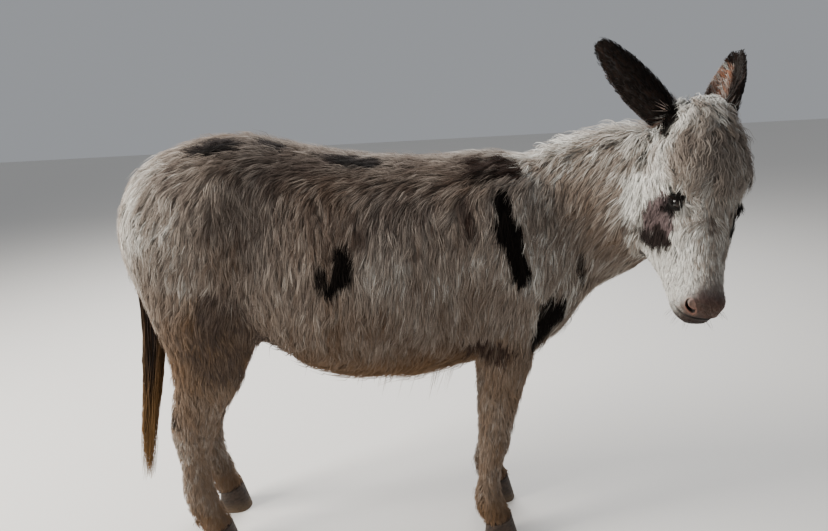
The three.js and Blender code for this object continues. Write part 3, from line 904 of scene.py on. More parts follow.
@dataclass
class Skin:
    """One skin over all the flesh, inside the solids by the coat's depth.

    Regions gives how many times each region is evened out, and how deep its skin lies in metres.
    """

    voxel: float = 0.004
    overlap: float = 0.0009
    faces: int = 140_000
    regions: dict[Region, tuple[int, float]] = field(
        default_factory=lambda: {
            Region.TRUNK: (80, 0.012),
            Region.NECK: (45, 0.013),
            Region.HEAD: (16, 0.006),
            Region.EAR_RIGHT: (5, 0.0024),
            Region.EAR_LEFT: (5, 0.0024),
            Region.UPPER_LEG: (40, 0.009),
            Region.LOWER_LEG: (18, 0.0045),
            Region.DOCK: (24, 0.011),
        }
    )

    def solids(self) -> tuple[Array, Array, Array]:
        """Gathers the flesh nodes as closed shells, swollen enough to overlap.

        Returns:
            The corners, the triangles, and the region of each triangle.
        """
        points, faces, regions = [], [], []
        count = 0
        for name, region in FLESH.items():
            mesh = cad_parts[name].data
            loose = corners(mesh)
            _, first, back = np.unique(
                np.round(loose / WELD), axis=0, return_index=True, return_inverse=True
            )
            merged = loose[first]
            own = back.ravel()[triangles(mesh)]
            points.append(merged + corner_normals(merged, own) * self.overlap)
            faces.append(own + count)
            regions.append(np.full(len(own), region.value))
            count += len(merged)
        return np.concatenate(points), np.concatenate(faces), np.concatenate(regions)

    def closed(self, points: Array, faces: Array) -> bpy.types.Object:
        """Returns one even shell round all the solids."""
        rough = new_piece("skin", points, faces)
        remesh = rough.modifiers.new("close", "REMESH")
        remesh.mode = "VOXEL"
        remesh.voxel_size = self.voxel
        mesh = evaluated(rough)
        rough.modifiers.clear()
        rough.data = mesh
        return rough

    @staticmethod
    def region_of(points: Array, tree: BVHTree, regions: Array) -> Array:
        """Returns a row for each place, with 1 under its nearest solid's region."""
        nearest = [tree.find_nearest(p)[2] for p in points]
        return np.eye(len(Region))[regions[nearest]]

    @staticmethod
    def head_depth(points: Array) -> Array:
        """Returns how deep the head's skin lies: deep under the wool, almost nothing at the lips."""
        own = HEAD.inwards(points)
        down = -own[:, 2]
        depth = np.interp(down, HEAD_DEPTH[:, 0], HEAD_DEPTH[:, 1] * MM)
        return depth + 0.003 * ramp(-own[:, 0], 0.05, 0.11) * (down < 0.34)

    def build(self) -> None:
        """Makes the skin's mesh, and keeps what the coat needs to know about it."""
        points, faces, regions = self.solids()
        tree = BVHTree.FromPolygons(points.tolist(), faces.tolist())
        shell = self.closed(points, faces)
        net = Net.of(shell.data)
        places = corners(shell.data)
        share = self.region_of(places, tree, regions)
        share = net.spread(share, 14)
        # the joins of the solids are evened out, and then the skin is sunk under its coat
        times, depths = zip(*(self.regions[region] for region in Region))
        rate = share @ np.array(times) / max(times) * 0.5
        places = net.spread(places, max(times), rate[:, None])
        depth = share @ np.array(depths)
        head = share[:, Region.HEAD.value]
        depth = mix(depth, self.head_depth(places), head)
        depth = net.spread(depth[:, None], 12)
        places = places - corner_normals(places, triangles(shell.data)) * depth
        places = net.spread(places, 8, np.minimum(rate, 0.25)[:, None])
        shell.data.vertices.foreach_set("co", (places + SHIFT).astype(np.float32).ravel())
        self.thin(shell, share)
        self.refine(shell.data)
        self.shape_head(shell.data)
        self.measure(shell, tree, regions)

    def thin(self, shell: bpy.types.Object, share: Array) -> None:
        """Thins the skin's mesh out everywhere but on the head and ears."""
        fine = share[:, [Region.HEAD.value, *EAR_COLUMNS]].sum(axis=1)
        group = shell.vertex_groups.new(name="coarse")
        group.add(np.flatnonzero(fine < 0.5).tolist(), 1.0, "REPLACE")
        thinning = shell.modifiers.new("thin", "DECIMATE")
        thinning.ratio = self.faces / (2 * len(shell.data.polygons))
        thinning.vertex_group = group.name
        mesh = evaluated(shell)
        shell.modifiers.clear()
        shell.vertex_groups.clear()
        shell.data = mesh

    @staticmethod
    def refine(mesh: bpy.types.Mesh) -> None:
        """Makes the mesh finer round the eyes, the nostrils and the mouth."""
        for reach, eye_reach in ((0.024, 0.032), (0.016, 0.026)):
            own = HEAD.inwards(corners(mesh))
            fine = np.zeros(len(own), dtype=bool)
            for socket in SOCKETS:
                fine |= np.linalg.norm(own - socket.middle, axis=1) < eye_reach
            for nostril in NOSTRILS:
                flat = nostril.flat(own)
                fine |= (np.hypot(flat[:, 0], flat[:, 1]) < reach) & (np.abs(flat[:, 2]) < 0.03)
            over, here = MOUTH.gap(own).T
            lips = (own[:, 2] < -0.34) & (np.abs(own[:, 1]) < 0.06)
            fine |= (np.abs(over) < reach / 2) & (here > 0) & lips
            model = bmesh.new()
            model.from_mesh(mesh)
            model.verts.ensure_lookup_table()
            edges = [e for e in model.edges if fine[e.verts[0].index] and fine[e.verts[1].index]]
            bmesh.ops.subdivide_edges(model, edges=edges, cuts=1, use_grid_fill=True)
            bmesh.ops.triangulate(model, faces=[f for f in model.faces if len(f.verts) > 3])
            model.to_mesh(mesh)
            model.free()

    @staticmethod
    def shape_head(mesh: bpy.types.Mesh) -> None:
        """Shapes the lids, the nostrils, the lips and the folds of the face."""
        points = corners(mesh)
        own = HEAD.inwards(points)
        forward, left, up = np.abs(own[:, 0]), np.abs(own[:, 1]), own[:, 2]
        on_head = np.flatnonzero((left < 0.13) & (up < 0.0) & (forward < 0.14))
        net = Net.of(mesh)
        normals = corner_normals(points, triangles(mesh)) @ HEAD.axes
        part, out = own[on_head], normals[on_head]
        side = np.sign(part[:, 1])
        # the crest of bone down each cheek, and the folds behind the corners of the mouth
        crest = np.stack([part[:, 0] - 0.002, part[:, 1] - side * 0.058, part[:, 2] + 0.245], axis=1)
        crest_gap = np.hypot(crest[:, 0] - 0.12 * crest[:, 2], crest[:, 1] * 0.5)
        part = part + out * (0.0025 * hump(crest_gap, 0, 0.010) * hump(crest[:, 2], 0, 0.04))[:, None]
        fold = np.sin((part[:, 2] + 0.5 * part[:, 0]) * 700) * 0.0005
        near_corner = hump(part[:, 2], -0.356, 0.014) * hump(np.abs(part[:, 1]), 0.04, 0.02)
        part = part + out * (fold * near_corner)[:, None]
        part = MOUTH.shaped(part, out)
        for nostril in NOSTRILS:
            part = nostril.shaped(part)
        for socket in SOCKETS:
            part = socket.shaped(part)
        own[on_head] = part
        points = HEAD.outwards(own)
        delicate = np.zeros(len(own))
        for feature in (*SOCKETS, *NOSTRILS, MOUTH):
            delicate = np.maximum(delicate, feature.near(own) > 0)
        points = net.spread(points, 1, (0.25 * delicate)[:, None])
        mesh.vertices.foreach_set("co", (points + SHIFT).astype(np.float32).ravel())
        mesh.update()

    def measure(self, shell: bpy.types.Object, tree: BVHTree, regions: Array) -> None:
        """Keeps the finished skin's arrays, and colours it."""
        mesh = shell.data
        self.points = corners(mesh)
        self.faces = triangles(mesh)
        self.normals = corner_normals(self.points, self.faces)
        net = Net.of(mesh)
        self.share = net.spread(self.region_of(self.points, tree, regions), 5)
        nearest = np.array([tree.find_nearest(p)[3] for p in self.points])
        self.under = net.spread(nearest[:, None], 3)[:, 0]
        self.ears = np.zeros(len(self.points))
        for region, ear in EARS.items():
            own = ear.inwards(self.points)
            out = self.normals @ ear.axes
            to_axis = np.stack([EAR_CUP - own[:, 0], -own[:, 1]], axis=1)
            facing = dot(unit(to_axis), out[:, :2])
            on_ear = self.share[:, region.value] > 0.4
            self.ears = np.maximum(self.ears, ramp(facing, -0.1, 0.4) * on_ear)
        own = HEAD.inwards(self.points)
        self.own = own
        on_head = self.share[:, Region.HEAD.value]
        slits = np.maximum.reduce([feature.near(own) for feature in (*SOCKETS, *NOSTRILS, MOUTH)])
        muzzle = ramp(-own[:, 2] + 0.25 * own[:, 0] + 0.15 * np.abs(own[:, 1]), 0.385, 0.402)
        self.bare = np.maximum(slits, 0.85 * muzzle) * on_head
        self.tree = BVHTree.FromPolygons(self.points.tolist(), self.faces.tolist())
        paint(mesh, self.colours())
        mesh.polygons.foreach_set("use_smooth", np.full(len(mesh.polygons), True))
        bring_in(shell, "coat_roan", SKIN.material(), *FLESH)
        self.piece = shell

    def colours(self) -> Array:
        """Returns the skin's colour under the hair, with painted shade under the coat, and of its bare
        places, with painted shadow in the nostrils and painted shade in the crease of the mouth.
        """
        grain = noise(self.points, 0.004, 21) * 0.5 + noise(self.points, 0.0015, 22) * 0.3
        seen = self.points + self.normals * self.under[:, None]
        colour = MARKINGS.colours(seen, self.share, self.ears, grain)
        own = self.own
        muzzle = MARKINGS.muzzle(seen, self.share)
        # painted shade: the skin is darker under the coat than on the muzzle
        colour = mix(colour * 0.8, colour, muzzle[:, None])
        for nostril in NOSTRILS:
            gap = nostril.gap(nostril.flat(own))
            here = (nostril.near(own, 0.02) > 0) * muzzle
            rim = here * 0.40 * hump(gap, 0.0006, 0.0011)
            # painted shadow filling each nostril's opening
            hole_shadow = here * (1 - ramp(gap, -0.002, 0.0002))
            colour = mix(colour, Tone.GUM_PINK.linear, rim[:, None])
            colour = mix(colour, Tone.BLACK.linear * 0.4, hole_shadow[:, None])
        for socket in SOCKETS:
            colour = mix(colour, Tone.BLACK.linear, socket.near(own, 0.008, 0.017)[:, None])
        # painted shade in the crease between the lips
        return mix(colour, Tone.BLACK.linear, (MOUTH.near(own) ** 3 * 0.7)[:, None])


MARKINGS = Markings()


# ---- the coat
@dataclass(frozen=True)
class Growth:
    """How the hair of a region grows: tufts to the square metre, and each tuft's size and stand."""

    density: float
    length: float
    width: float
    lift: float
    clump: float


GROWTH = {
    Region.TRUNK: Growth(84_000, 0.045, 0.0018, 0.24, 0.50),
    Region.NECK: Growth(86_000, 0.042, 0.0018, 0.27, 0.55),
    Region.HEAD: Growth(100_000, 0.020, 0.0018, 0.24, 0.50),
    Region.EAR_RIGHT: Growth(130_000, 0.013, 0.0015, 0.28, 0.35),
    Region.EAR_LEFT: Growth(130_000, 0.013, 0.0015, 0.28, 0.35),
    Region.UPPER_LEG: Growth(82_000, 0.034, 0.0018, 0.31, 0.60),
    Region.LOWER_LEG: Growth(98_000, 0.022, 0.0017, 0.33, 0.60),
    Region.DOCK: Growth(80_000, 0.042, 0.0020, 0.26, 0.50),
}
# Down the head in metres: the hair's length, width and density.
HEAD_GROWTH = np.array(
    [
        (-0.05, 0.034, 0.0020, 80_000),
        (0.10, 0.032, 0.0020, 80_000),
        (0.15, 0.027, 0.0018, 110_000),
        (0.20, 0.024, 0.0016, 140_000),
        (0.27, 0.021, 0.0015, 150_000),
        (0.32, 0.016, 0.0013, 190_000),
        (0.355, 0.009, 0.0010, 260_000),
        (0.385, 0.0045, 0.0007, 320_000),
        (0.42, 0.0032, 0.0006, 260_000),
    ]
)
WHORL = np.array([0.042, -0.022, -0.226])  # on the head, where the face's hair turns about
# Level across the neck.
CROSSWISE = unit(np.cross([0.0, 0.0, 1.0], NECK_END - NECK_ROOT))


@dataclass
class Roots:
    """Where tufts grow, and how each grows there.

    Lift is how steeply a tuft stands, clump how far it leans to its lock's leader, and under how deep
    its root is. Curl and waves are its waves' radius and number, droop how far its tip hangs, as a
    share of its length, and lock how many tufts share a leader.
    """

    points: Array
    normals: Array
    share: Array
    ears: Array
    length: Array
    width: Array
    lift: Array
    clump: Array
    under: Array
    curl: float = 0.0
    waves: float = 1.15
    droop: float = 0.0
    lock: int = 9

    def chosen(self, keep: Array) -> "Roots":
        """Returns the roots that keep names."""
        own = vars(self).items()
        return Roots(**{name: v[keep] if isinstance(v, Array) else v for name, v in own})


@dataclass(frozen=True)
class Draws:
    """The random numbers of some tufts: rows of each tuft's own, and of its lock's; and its leader."""

    own: Array
    lock: Array
    leader: Array


@dataclass(frozen=True)
class LongHair:
    """Longer hair that stands out of the coat as a piece of its own."""

    name: str
    slot: str
    density: float
    length: float
    width: float
    lift: float
    clump: float
    rings: int
    curl: float
    waves: float = 1.15
    droop: float = 0.0
    lock: int = 9

    def dress(self, roots: Roots) -> None:
        """Gives the roots this hair's own sizes."""
        count = len(roots.points)
        roots.length, roots.width = np.full(count, self.length), np.full(count, self.width)
        roots.lift, roots.clump = np.full(count, self.lift), np.full(count, self.clump)
        roots.curl, roots.waves, roots.droop, roots.lock = self.curl, self.waves, self.droop, self.lock


WISPS = LongHair(
    "belly_wisps", "coat_roan", 4_500, 0.031, 0.0015, 0.8, 0.95, 4, 0.0016, droop=2.1, lock=5
)
WOOL = LongHair(
    "forehead_wool", "coat_pale", 85_000, 0.044, 0.0016, 0.32, 0.95, 6, 0.0048, waves=1.25, lock=18
)
MANE = LongHair("mane", "coat_roan", 60_000, 0.050, 0.0024, 0.55, 0.9, 5, 0.003)
# The trunk's coat is cut across into pieces: how far back and how far forward each reaches.
TRUNK_PIECES = {
    "coat_rump": (-math.inf, -0.50),
    "coat_croup": (-0.50, -0.30),
    "coat_flank": (-0.30, -0.12),
    "coat_barrel": (-0.12, 0.06),
    "coat_girth": (0.06, 0.20),
    "coat_shoulder": (0.20, math.inf),
}
MID_TRUNK = -0.2  # legs in front of this are fore legs
TUFT_PATCH = 0.003  # how wide and high a tuft is on its map


@dataclass(frozen=True)
class Tufts:
    """The tufts as a mesh: corners, triangles, colours and a map at the roots' places."""

    points: Array
    faces: Array
    normals: Array
    colours: Array
    places: Array


@dataclass
class Coat:
    """All the hair that grows from the skin, as solid tapering tufts that lie along it.

    Each tuft is shaded partly as the body's own surface, so that the coat looks soft: roundness is
    how much of a tuft's own round shape shows, and lock_roundness how much of its lock's. A root is
    sunk into the skin.
    """

    skin: Skin
    roundness: float = 0.40
    lock_roundness: float = 0.45
    sunk: float = 0.0015

    def __post_init__(self) -> None:
        """Works out how the hair grows at each corner of the skin."""
        skin = self.skin
        self.random = np.random.default_rng(SEED)
        self.finish = HAIR.material()
        share = skin.share
        table = np.array([[g.density, g.length, g.width, g.lift, g.clump] for g in GROWTH.values()])
        fields = share @ table
        head = share[:, Region.HEAD.value]
        down = -skin.own[:, 2]
        for column, source in ((1, 1), (2, 2), (0, 3)):
            along = np.interp(down, HEAD_GROWTH[:, 0], HEAD_GROWTH[:, source])
            fields[:, column] = mix(fields[:, column], along, head)
        # longer on the jaw and looser on the brow
        jaw = ramp(-skin.own[:, 0], 0.03, 0.09) * (down < 0.35) * (down > 0.1) * head
        fields[:, 1] += 0.012 * jaw
        fields[:, 3] += 0.10 * ramp(-down, -0.16, -0.11) * head
        near_eyes = np.maximum.reduce([s.near(skin.own) for s in SOCKETS]) * head
        slits = np.maximum.reduce([f.near(skin.own) for f in (*NOSTRILS, MOUTH)]) * head
        z = skin.points[:, 2]
        out = skin.normals
        # longer and looser under the belly, and looser along the topline
        under = ramp(-out[:, 2], 0.2, 0.8) * share[:, Region.TRUNK.value]
        fields[:, 1] += 0.020 * under
        fields[:, 3] += 0.16 * under
        fields[:, 3] += 0.12 * ramp(out[:, 2], 0.55, 0.9) * share[:, Region.TRUNK.value]
        # longer up the legs, behind the fetlocks and inside the ears
        upper = share[:, Region.UPPER_LEG.value]
        fields[:, 1] += upper * 0.010 * (ramp(z, 0.35, 0.55) - 0.5)
        feather = share[:, Region.LOWER_LEG.value] * ramp(-out[:, 0], 0.1, 0.7) * hump(z, 0.13, 0.05)
        fields[:, 1] += 0.014 * feather
        fields[:, 3] += 0.12 * feather
        inner = skin.ears
        fields[:, 1] += 0.007 * inner
        fields[:, 3] += 0.10 * inner
        # short, fine and then none at the eyes, the nostrils and the mouth, and none on the hooves
        fields[:, 1] *= 1 - 0.72 * np.maximum(near_eyes, 0.5 * slits)
        fields[:, 2] *= 1 - 0.45 * near_eyes
        fields[:, 0] *= 1 - np.clip(1.15 * np.maximum(near_eyes**0.5, slits), 0, 1)
        over_hoof = np.min([Hoof(foot).over(skin.points) for foot in FEET], axis=0)
        fields[:, 0] *= ramp(over_hoof, -0.006, 0.001)
        fields[:, 1] += 0.006 * hump(over_hoof, 0.006, 0.010) * share[:, Region.LOWER_LEG.value]
        self.fields = fields

    def sample(self, density: Array) -> tuple[Array, Array]:
        """Spreads roots evenly over the skin.

        Args:
            density: tufts to the square metre at each corner of the skin.

        Returns:
            The triangle that each root is on, and its three weights.
        """
        faces, points = self.skin.faces, self.skin.points
        a, b, c = (points[faces[:, i]] for i in range(3))
        area = np.linalg.norm(np.cross(b - a, c - a), axis=1) / 2
        wanted = area * density[faces].mean(axis=1)
        # equal steps along a path through cells of 6 mm, each next to the last, spread the roots evenly
        cell = ((a - a.min(axis=0)) / 0.006).astype(np.int64)
        code = np.zeros(len(cell), dtype=np.int64)
        for bit in range(9):
            for axis in range(3):
                code |= (cell[:, axis] >> bit & 1) << (3 * bit + axis)
        order = np.argsort(code, kind="stable")
        total = np.cumsum(wanted[order])
        count = int(total[-1])
        steps = (np.arange(count) + self.random.random(count)) * (total[-1] / count)
        chosen = order[np.minimum(np.searchsorted(total, steps), len(order) - 1)]
        first, second = self.random.random((2, count))
        over = first + second > 1
        first, second = np.where(over, 1 - first, first), np.where(over, 1 - second, second)
        return chosen, np.stack([1 - first - second, first, second], axis=1)

    def roots(self, density: Array) -> Roots:
        """Returns roots sampled at a density, with the growth of their places."""
        chosen, weights = self.sample(density)
        faces = self.skin.faces[chosen]

        def at(values: Array) -> Array:
            """Returns the values of the skin's corners at the roots."""
            return np.einsum("nk,nk...->n...", weights, values[faces])

        own = at(self.fields)
        return Roots(
            points=at(self.skin.points),
            normals=unit(at(self.skin.normals)),
            share=at(self.skin.share),
            ears=at(self.skin.ears),
            length=own[:, 1],
            width=own[:, 2],
            lift=own[:, 3],
            clump=own[:, 4],
            under=at(self.skin.under),
        )

    def lie(self, roots: Roots) -> Array:
        """Returns which way the hair lies along the skin at each root."""
        points, normals = roots.points, roots.normals
        x, y, z = points.T
        one = np.ones(len(x))
        side = np.tanh(y / 0.03)
        up = ramp(normals[:, 2], 0.45, 0.97)
        under = ramp(-normals[:, 2], 0.35, 0.9)
        chest = ramp(x, 0.28, 0.38)
        trunk = np.stack([-0.14 - 1.1 * up, 0.3 * side * up, -(1 - 0.9 * up)], axis=1)
        trunk = mix(trunk, np.stack([-0.8 * one, 0 * one, -0.5 * one], axis=1), under[:, None])
        trunk[:, 0] -= 0.25 * ramp(-x, 0.35, 0.6) * (1 - ramp(-x, 0.62, 0.70))
        trunk = mix(trunk, np.stack([-0.15 * one, 0.35 * side, -one], axis=1), chest[:, None])
        way = unit(NECK_END - NECK_ROOT)
        aside = np.tanh((points - NECK_ROOT) @ CROSSWISE / 0.03)[:, None] * CROSSWISE
        neck = -0.75 * way + np.array([0.0, 0.0, -0.75]) + aside * 0.7 * up[:, None]
        leg = np.stack([-0.10 * one, 0 * one, -one], axis=1)
        dock = np.stack([-0.9 * ramp(z, 0.88, 0.96), 0 * one, -one], axis=1)
        ways = {
            Region.TRUNK: trunk,
            Region.NECK: neck,
            Region.HEAD: HEAD.aim(self.head_lie(HEAD.inwards(points))),
            Region.UPPER_LEG: leg,
            Region.LOWER_LEG: leg,
            Region.DOCK: dock,
        }
        for region, ear in EARS.items():
            own = ear.inwards(points)
            outside = np.array([0.0, 0.0, 1.0]) * one[:, None]
            inside = np.stack([0.7 * one, 0.6 * np.tanh(own[:, 1] / 0.01), 0.7 * one], axis=1)
            ways[region] = mix(outside, inside, roots.ears[:, None]) @ ear.axes.T
        total = sum(roots.share[:, region.value, None] * unit(way) for region, way in ways.items())
        return flattened(total, normals)

    @staticmethod
    def head_lie(own: Array) -> Array:
        """Returns the lie of the head's hair in the head's frame."""
        forward, left, up = own.T
        one = np.ones(len(own))
        wool = np.stack([0.1 * one, left / 0.10, -one], axis=1)
        cheek = np.stack([-0.55 * one, 0 * one, -0.9 * one], axis=1)
        nose = np.stack([0 * one, 0 * one, -one], axis=1)
        jaw = np.stack([-0.7 * one, 0 * one, -0.5 * one], axis=1)
        way = mix(nose, cheek, ramp(-forward, -0.02, 0.03)[:, None])
        way = mix(way, jaw, ramp(-forward, 0.08, 0.12)[:, None])
        from_whorl = own - WHORL
        gap = np.linalg.norm(from_whorl, axis=1)
        spun = (1 - ramp(gap, 0.010, 0.060)) * ramp(forward, 0.0, 0.02)
        way = unit(way + 0.9 * spun[:, None] * unit(from_whorl))
        for socket in SOCKETS:
            from_eye = own - socket.middle
            gap = np.linalg.norm(from_eye, axis=1)
            way = mix(way, unit(from_eye) + 0.6 * way, (1 - ramp(gap, 0.022, 0.042))[:, None])
        return mix(way, wool, ramp(up, -0.185, -0.145)[:, None])

    def draws(self, roots: Roots) -> Draws:
        """Returns the roots' random numbers; a tuft's lock is that of its nearest leader."""
        count = len(roots.points)
        leaders = self.random.permutation(count)[: max(count // roots.lock, 1)]
        near = KDTree(len(leaders))
        for i, leader in enumerate(leaders):
            near.insert(roots.points[leader], i)
        near.balance()
        leader = leaders[[near.find(p)[1] for p in roots.points]]
        own = self.random.normal(size=(6, count))
        return Draws(own, self.random.normal(size=(5, count))[:, leader], leader)

    def swirled(self, roots: Roots, draws: Draws) -> tuple[Array, Array]:
        """Returns each tuft's way, turned a little from the lie, and the way across the lie."""
        way = self.lie(roots)
        barrel = hump(roots.points[:, 0], -0.02, 0.20) * (1 - ramp(roots.points[:, 2], 0.78, 0.90))
        ruffle = roots.share[:, BODY_COLUMNS].sum(axis=1) * (1 - 0.6 * barrel)
        ruffle += 0.6 * roots.share[:, LEG_COLUMNS].sum(axis=1)
        angle = 0.20 * noise(roots.points, 0.07, 31) + 0.30 * ruffle * noise(roots.points, 0.030, 33)
        angle += (0.12 + 0.05 * ruffle) * draws.lock[0] + 0.09 * draws.own[0]
        across = np.cross(roots.normals, way)
        return way * np.cos(angle)[:, None] + across * np.sin(angle)[:, None], across

    def paths(
        self,
        roots: Roots,
        draws: Draws,
        way: Array,
        across: Array,
        pull: Array,
        steps: Array,
    ) -> Array:
        """Leads each tuft over the skin and up from it.

        Args:
            roots: where the tufts grow.
            draws: their random numbers.
            way: which way each goes.
            across: the way across the lie.
            pull: the way to each one's leader.
            steps: how far along itself each of a tuft's places is, from 0 to 1.

        Returns:
            The places of each tuft's middle line.
        """
        own, lock = draws.own, draws.lock
        length = roots.length * np.clip(1 + 0.18 * lock[1] + 0.14 * own[1], 0.5, 1.5)
        swell = 1 + 0.3 * noise(roots.points, 0.035, 32) + 0.16 * lock[2] + 0.22 * own[2]
        lift = roots.lift * np.clip(swell, 0.25, 2.2)
        phase = lock[4] * math.pi + 0.35 * own[3]
        path = np.empty((len(length), len(steps), 3))
        path[:, 0] = roots.points - roots.normals * self.sunk
        nearest = self.skin.tree.find_nearest
        for k, t in enumerate(steps[1:], start=1):
            flat = roots.points + way * (length * t)[:, None] + pull * (roots.clump * t**1.2)[:, None]
            found = [nearest(p) for p in flat]
            on_skin = np.array([f[0] for f in found])
            out = unit(np.array([f[1] for f in found]) + 0.6 * roots.normals)
            height = length * lift * (1.7 * t - 1.05 * t * t)  # the tip bends back down
            path[:, k] = on_skin + out * height[:, None]
            wave = 2 * math.pi * roots.waves * t + phase
            path[:, k] += across * (roots.curl * t**0.5 * np.sin(wave))[:, None]
            path[:, k] += out * (0.7 * roots.curl * t**0.5 * np.cos(wave))[:, None]
            path[:, k, 2] -= roots.droop * length * t * t
        return path

    @staticmethod
    def shades(roots: Roots, draws: Draws, path: Array, steps: Array) -> Array:
        """Returns the colour of each tuft's corners: darker at the root, a painted shade of the coat's
        depth, and lighter at the bleached tip.
        """
        spread = np.clip(0.36 * draws.lock[3] + 0.26 * draws.own[5], -1, 1)
        seen = (path[:, 0] + path[:, -1]) / 2 + roots.normals * roots.under[:, None]
        hue = MARKINGS.colours(seen, roots.share, roots.ears, spread)
        # painted shade deep in the coat at each tuft's root, and a lighter, bleached tip
        shade = np.interp(steps[1:-1], (0, 0.5, 1), (0.82, 0.97, 1.04))
        shade = np.concatenate([[0.78], np.repeat(shade, 3), [1.06]])
        tint = 1 + 0.09 * np.clip(draws.own[3], -1.5, 1.5)
        return (hue * tint[:, None])[:, None, :] * shade[None, :, None]

    def grow(self, roots: Roots, rings: int) -> Tufts:
        """Grows a tapering tuft from every root.

        Args:
            roots: where the tufts grow.
            rings: how many three-cornered rings each has below its tip.

        Returns:
            The tufts as one mesh.
        """
        count = len(roots.points)
        draws = self.draws(roots)
        way, across = self.swirled(roots, draws)
        # tufts lean to their leader, by 12 mm at most, and are shaded as one rounded lock
        pull = roots.points[draws.leader] - roots.points
        gap = np.linalg.norm(pull, axis=1)
        pull *= np.minimum(1, 0.012 / np.maximum(gap, 1e-6))[:, None]
        ridge = np.clip(-dot(pull, across) / max(2.2 * np.median(gap), 1e-6), -1, 1)
        steps = np.concatenate([[0.0], (np.arange(rings) + 0.9) / (rings + 1), [1.0]])
        path = self.paths(roots, draws, way, across, pull, steps)
        along = unit(np.gradient(path, axis=1))
        side = unit(np.cross(along, roots.normals[:, None, :]))
        over = np.cross(side, along)
        profile = np.interp(steps[1:-1], (0, 0.3, 0.6, 1), (0.75, 1.0, 0.82, 0.3))
        width = roots.width * np.clip(1 + 0.2 * draws.own[4], 0.5, 1.6)
        half = (width[:, None] * profile)[:, :, None] / 2
        ring, side, over = path[:, 1:-1], side[:, 1:-1], over[:, 1:-1]
        body = np.stack([ring - side * half, ring + over * half * 0.75, ring + side * half], axis=2)
        body = body.reshape(count, rings * 3, 3)
        points = np.concatenate([path[:, :1], body, path[:, -1:]], axis=1)
        tilt = np.stack([-side, over, side], axis=2).reshape(count, rings * 3, 3)
        tilt = np.concatenate([over[:, :1], tilt, over[:, -1:]], axis=1)
        lock_shape = self.lock_roundness * ridge * np.clip(roots.length / 0.04, 0.2, 1)
        rounded = roots.normals + lock_shape[:, None] * across
        return Tufts(
            points=points.reshape(-1, 3),
            faces=self.tuft_faces(count, rings),
            normals=unit(rounded[:, None, :] + self.roundness * tilt).reshape(-1, 3),
            colours=self.shades(roots, draws, path, steps).reshape(-1, 3),
            places=self.chart(roots, rings),
        )

    @staticmethod
    def tuft_faces(count: int, rings: int) -> Array:
        """Returns the triangles of many tufts, each pointed at its root and its tip."""
        turns = [(i, (i + 1) % 3) for i in range(3)]
        faces = [(0, 1 + j, 1 + i) for i, j in turns]
        for k in range(rings - 1):
            for i, j in turns:
                a, b = 1 + 3 * k + i, 1 + 3 * k + j
                faces += [(a, b, b + 3), (a, b + 3, a + 3)]
        last = 3 * rings - 2
        faces += [(last + i, last + j, last + 3) for i, j in turns]
        size = 3 * rings + 2
        return (np.arange(count)[:, None, None] * size + np.array(faces)[None]).reshape(-1, 3)

    @staticmethod
    def chart(roots: Roots, rings: int) -> Array:
        """Lays the skin's own shape out flat, and gives each tuft a small patch at its root's place.

        Args:
            roots: where the tufts grow.
            rings: how many rings each tuft has.

        Returns:
            A place on the map for each corner of the tufts.
        """
        x, y, z = roots.points.T
        region = roots.share.argmax(axis=1)
        own = HEAD.inwards(roots.points)
        turned = {
            Region.TRUNK: (np.arctan2(y, z - 0.75), x),
            Region.NECK: (np.arctan2(roots.normals @ CROSSWISE, roots.normals[:, 2]), x),
            Region.HEAD: (np.arctan2(own[:, 1], own[:, 0] + 0.05), own[:, 2]),
            Region.UPPER_LEG: (np.arctan2(roots.normals[:, 0], roots.normals[:, 1]), z),
            Region.LOWER_LEG: (np.arctan2(roots.normals[:, 0], roots.normals[:, 1]), z),
            Region.DOCK: (np.arctan2(roots.normals[:, 1], -roots.normals[:, 0]), z),
        }
        for ear_region, ear in EARS.items():
            place = ear.inwards(roots.points)
            round_axis = np.arctan2(place[:, 1], EAR_CUP - place[:, 0])
            turned[ear_region] = (round_axis + 8 * roots.ears, place[:, 2])
        leg = (x > MID_TRUNK) * 2 + (y > 0)
        flat = np.zeros((len(x), 2))
        column = 0
        for kind in Region:
            for which in range(4) if kind.value in LEG_COLUMNS else (None,):
                here = (region == kind.value) & (leg == which if which is not None else True)
                if here.sum() < 3:
                    continue
                angle, along = turned[kind][0][here], turned[kind][1][here]
                flat[here, 0] = column + 0.95 * (angle - angle.min()) / max(np.ptp(angle), 1e-6)
                flat[here, 1] = (along - along.min()) / max(np.ptp(along), 1e-6)
                column += 1
        flat[:, 0] /= max(column, 1)
        flat = 0.01 + 0.98 * flat
        across = np.concatenate([[0.0], np.tile([-0.5, 0.0, 0.5], rings), [0.0]]) * TUFT_PATCH
        heights = np.repeat((np.arange(rings) + 1) / (rings + 1), 3)
        along = np.concatenate([[0.0], heights, [1.0]]) * TUFT_PATCH - TUFT_PATCH / 2
        return (flat[:, None, :] + np.stack([across, along], axis=1)[None]).reshape(-1, 2)

    def piece(self, name: str, roots: Roots, rings: int, slot: str) -> None:
        """Makes one piece of the coat from roots."""
        tufts = self.grow(roots, rings)
        piece = new_piece(name, tufts.points, tufts.faces, tufts.colours)
        soft = piece.data.attributes.new("custom_normal", "FLOAT_VECTOR", "POINT")
        soft.data.foreach_set("vector", tufts.normals.astype(np.float32).ravel())
        layer = piece.data.uv_layers.new(name="OFBake")
        layer.data.foreach_set("uv", tufts.places[tufts.faces.ravel()].astype(np.float32).ravel())
        bring_in(piece, slot, self.finish)

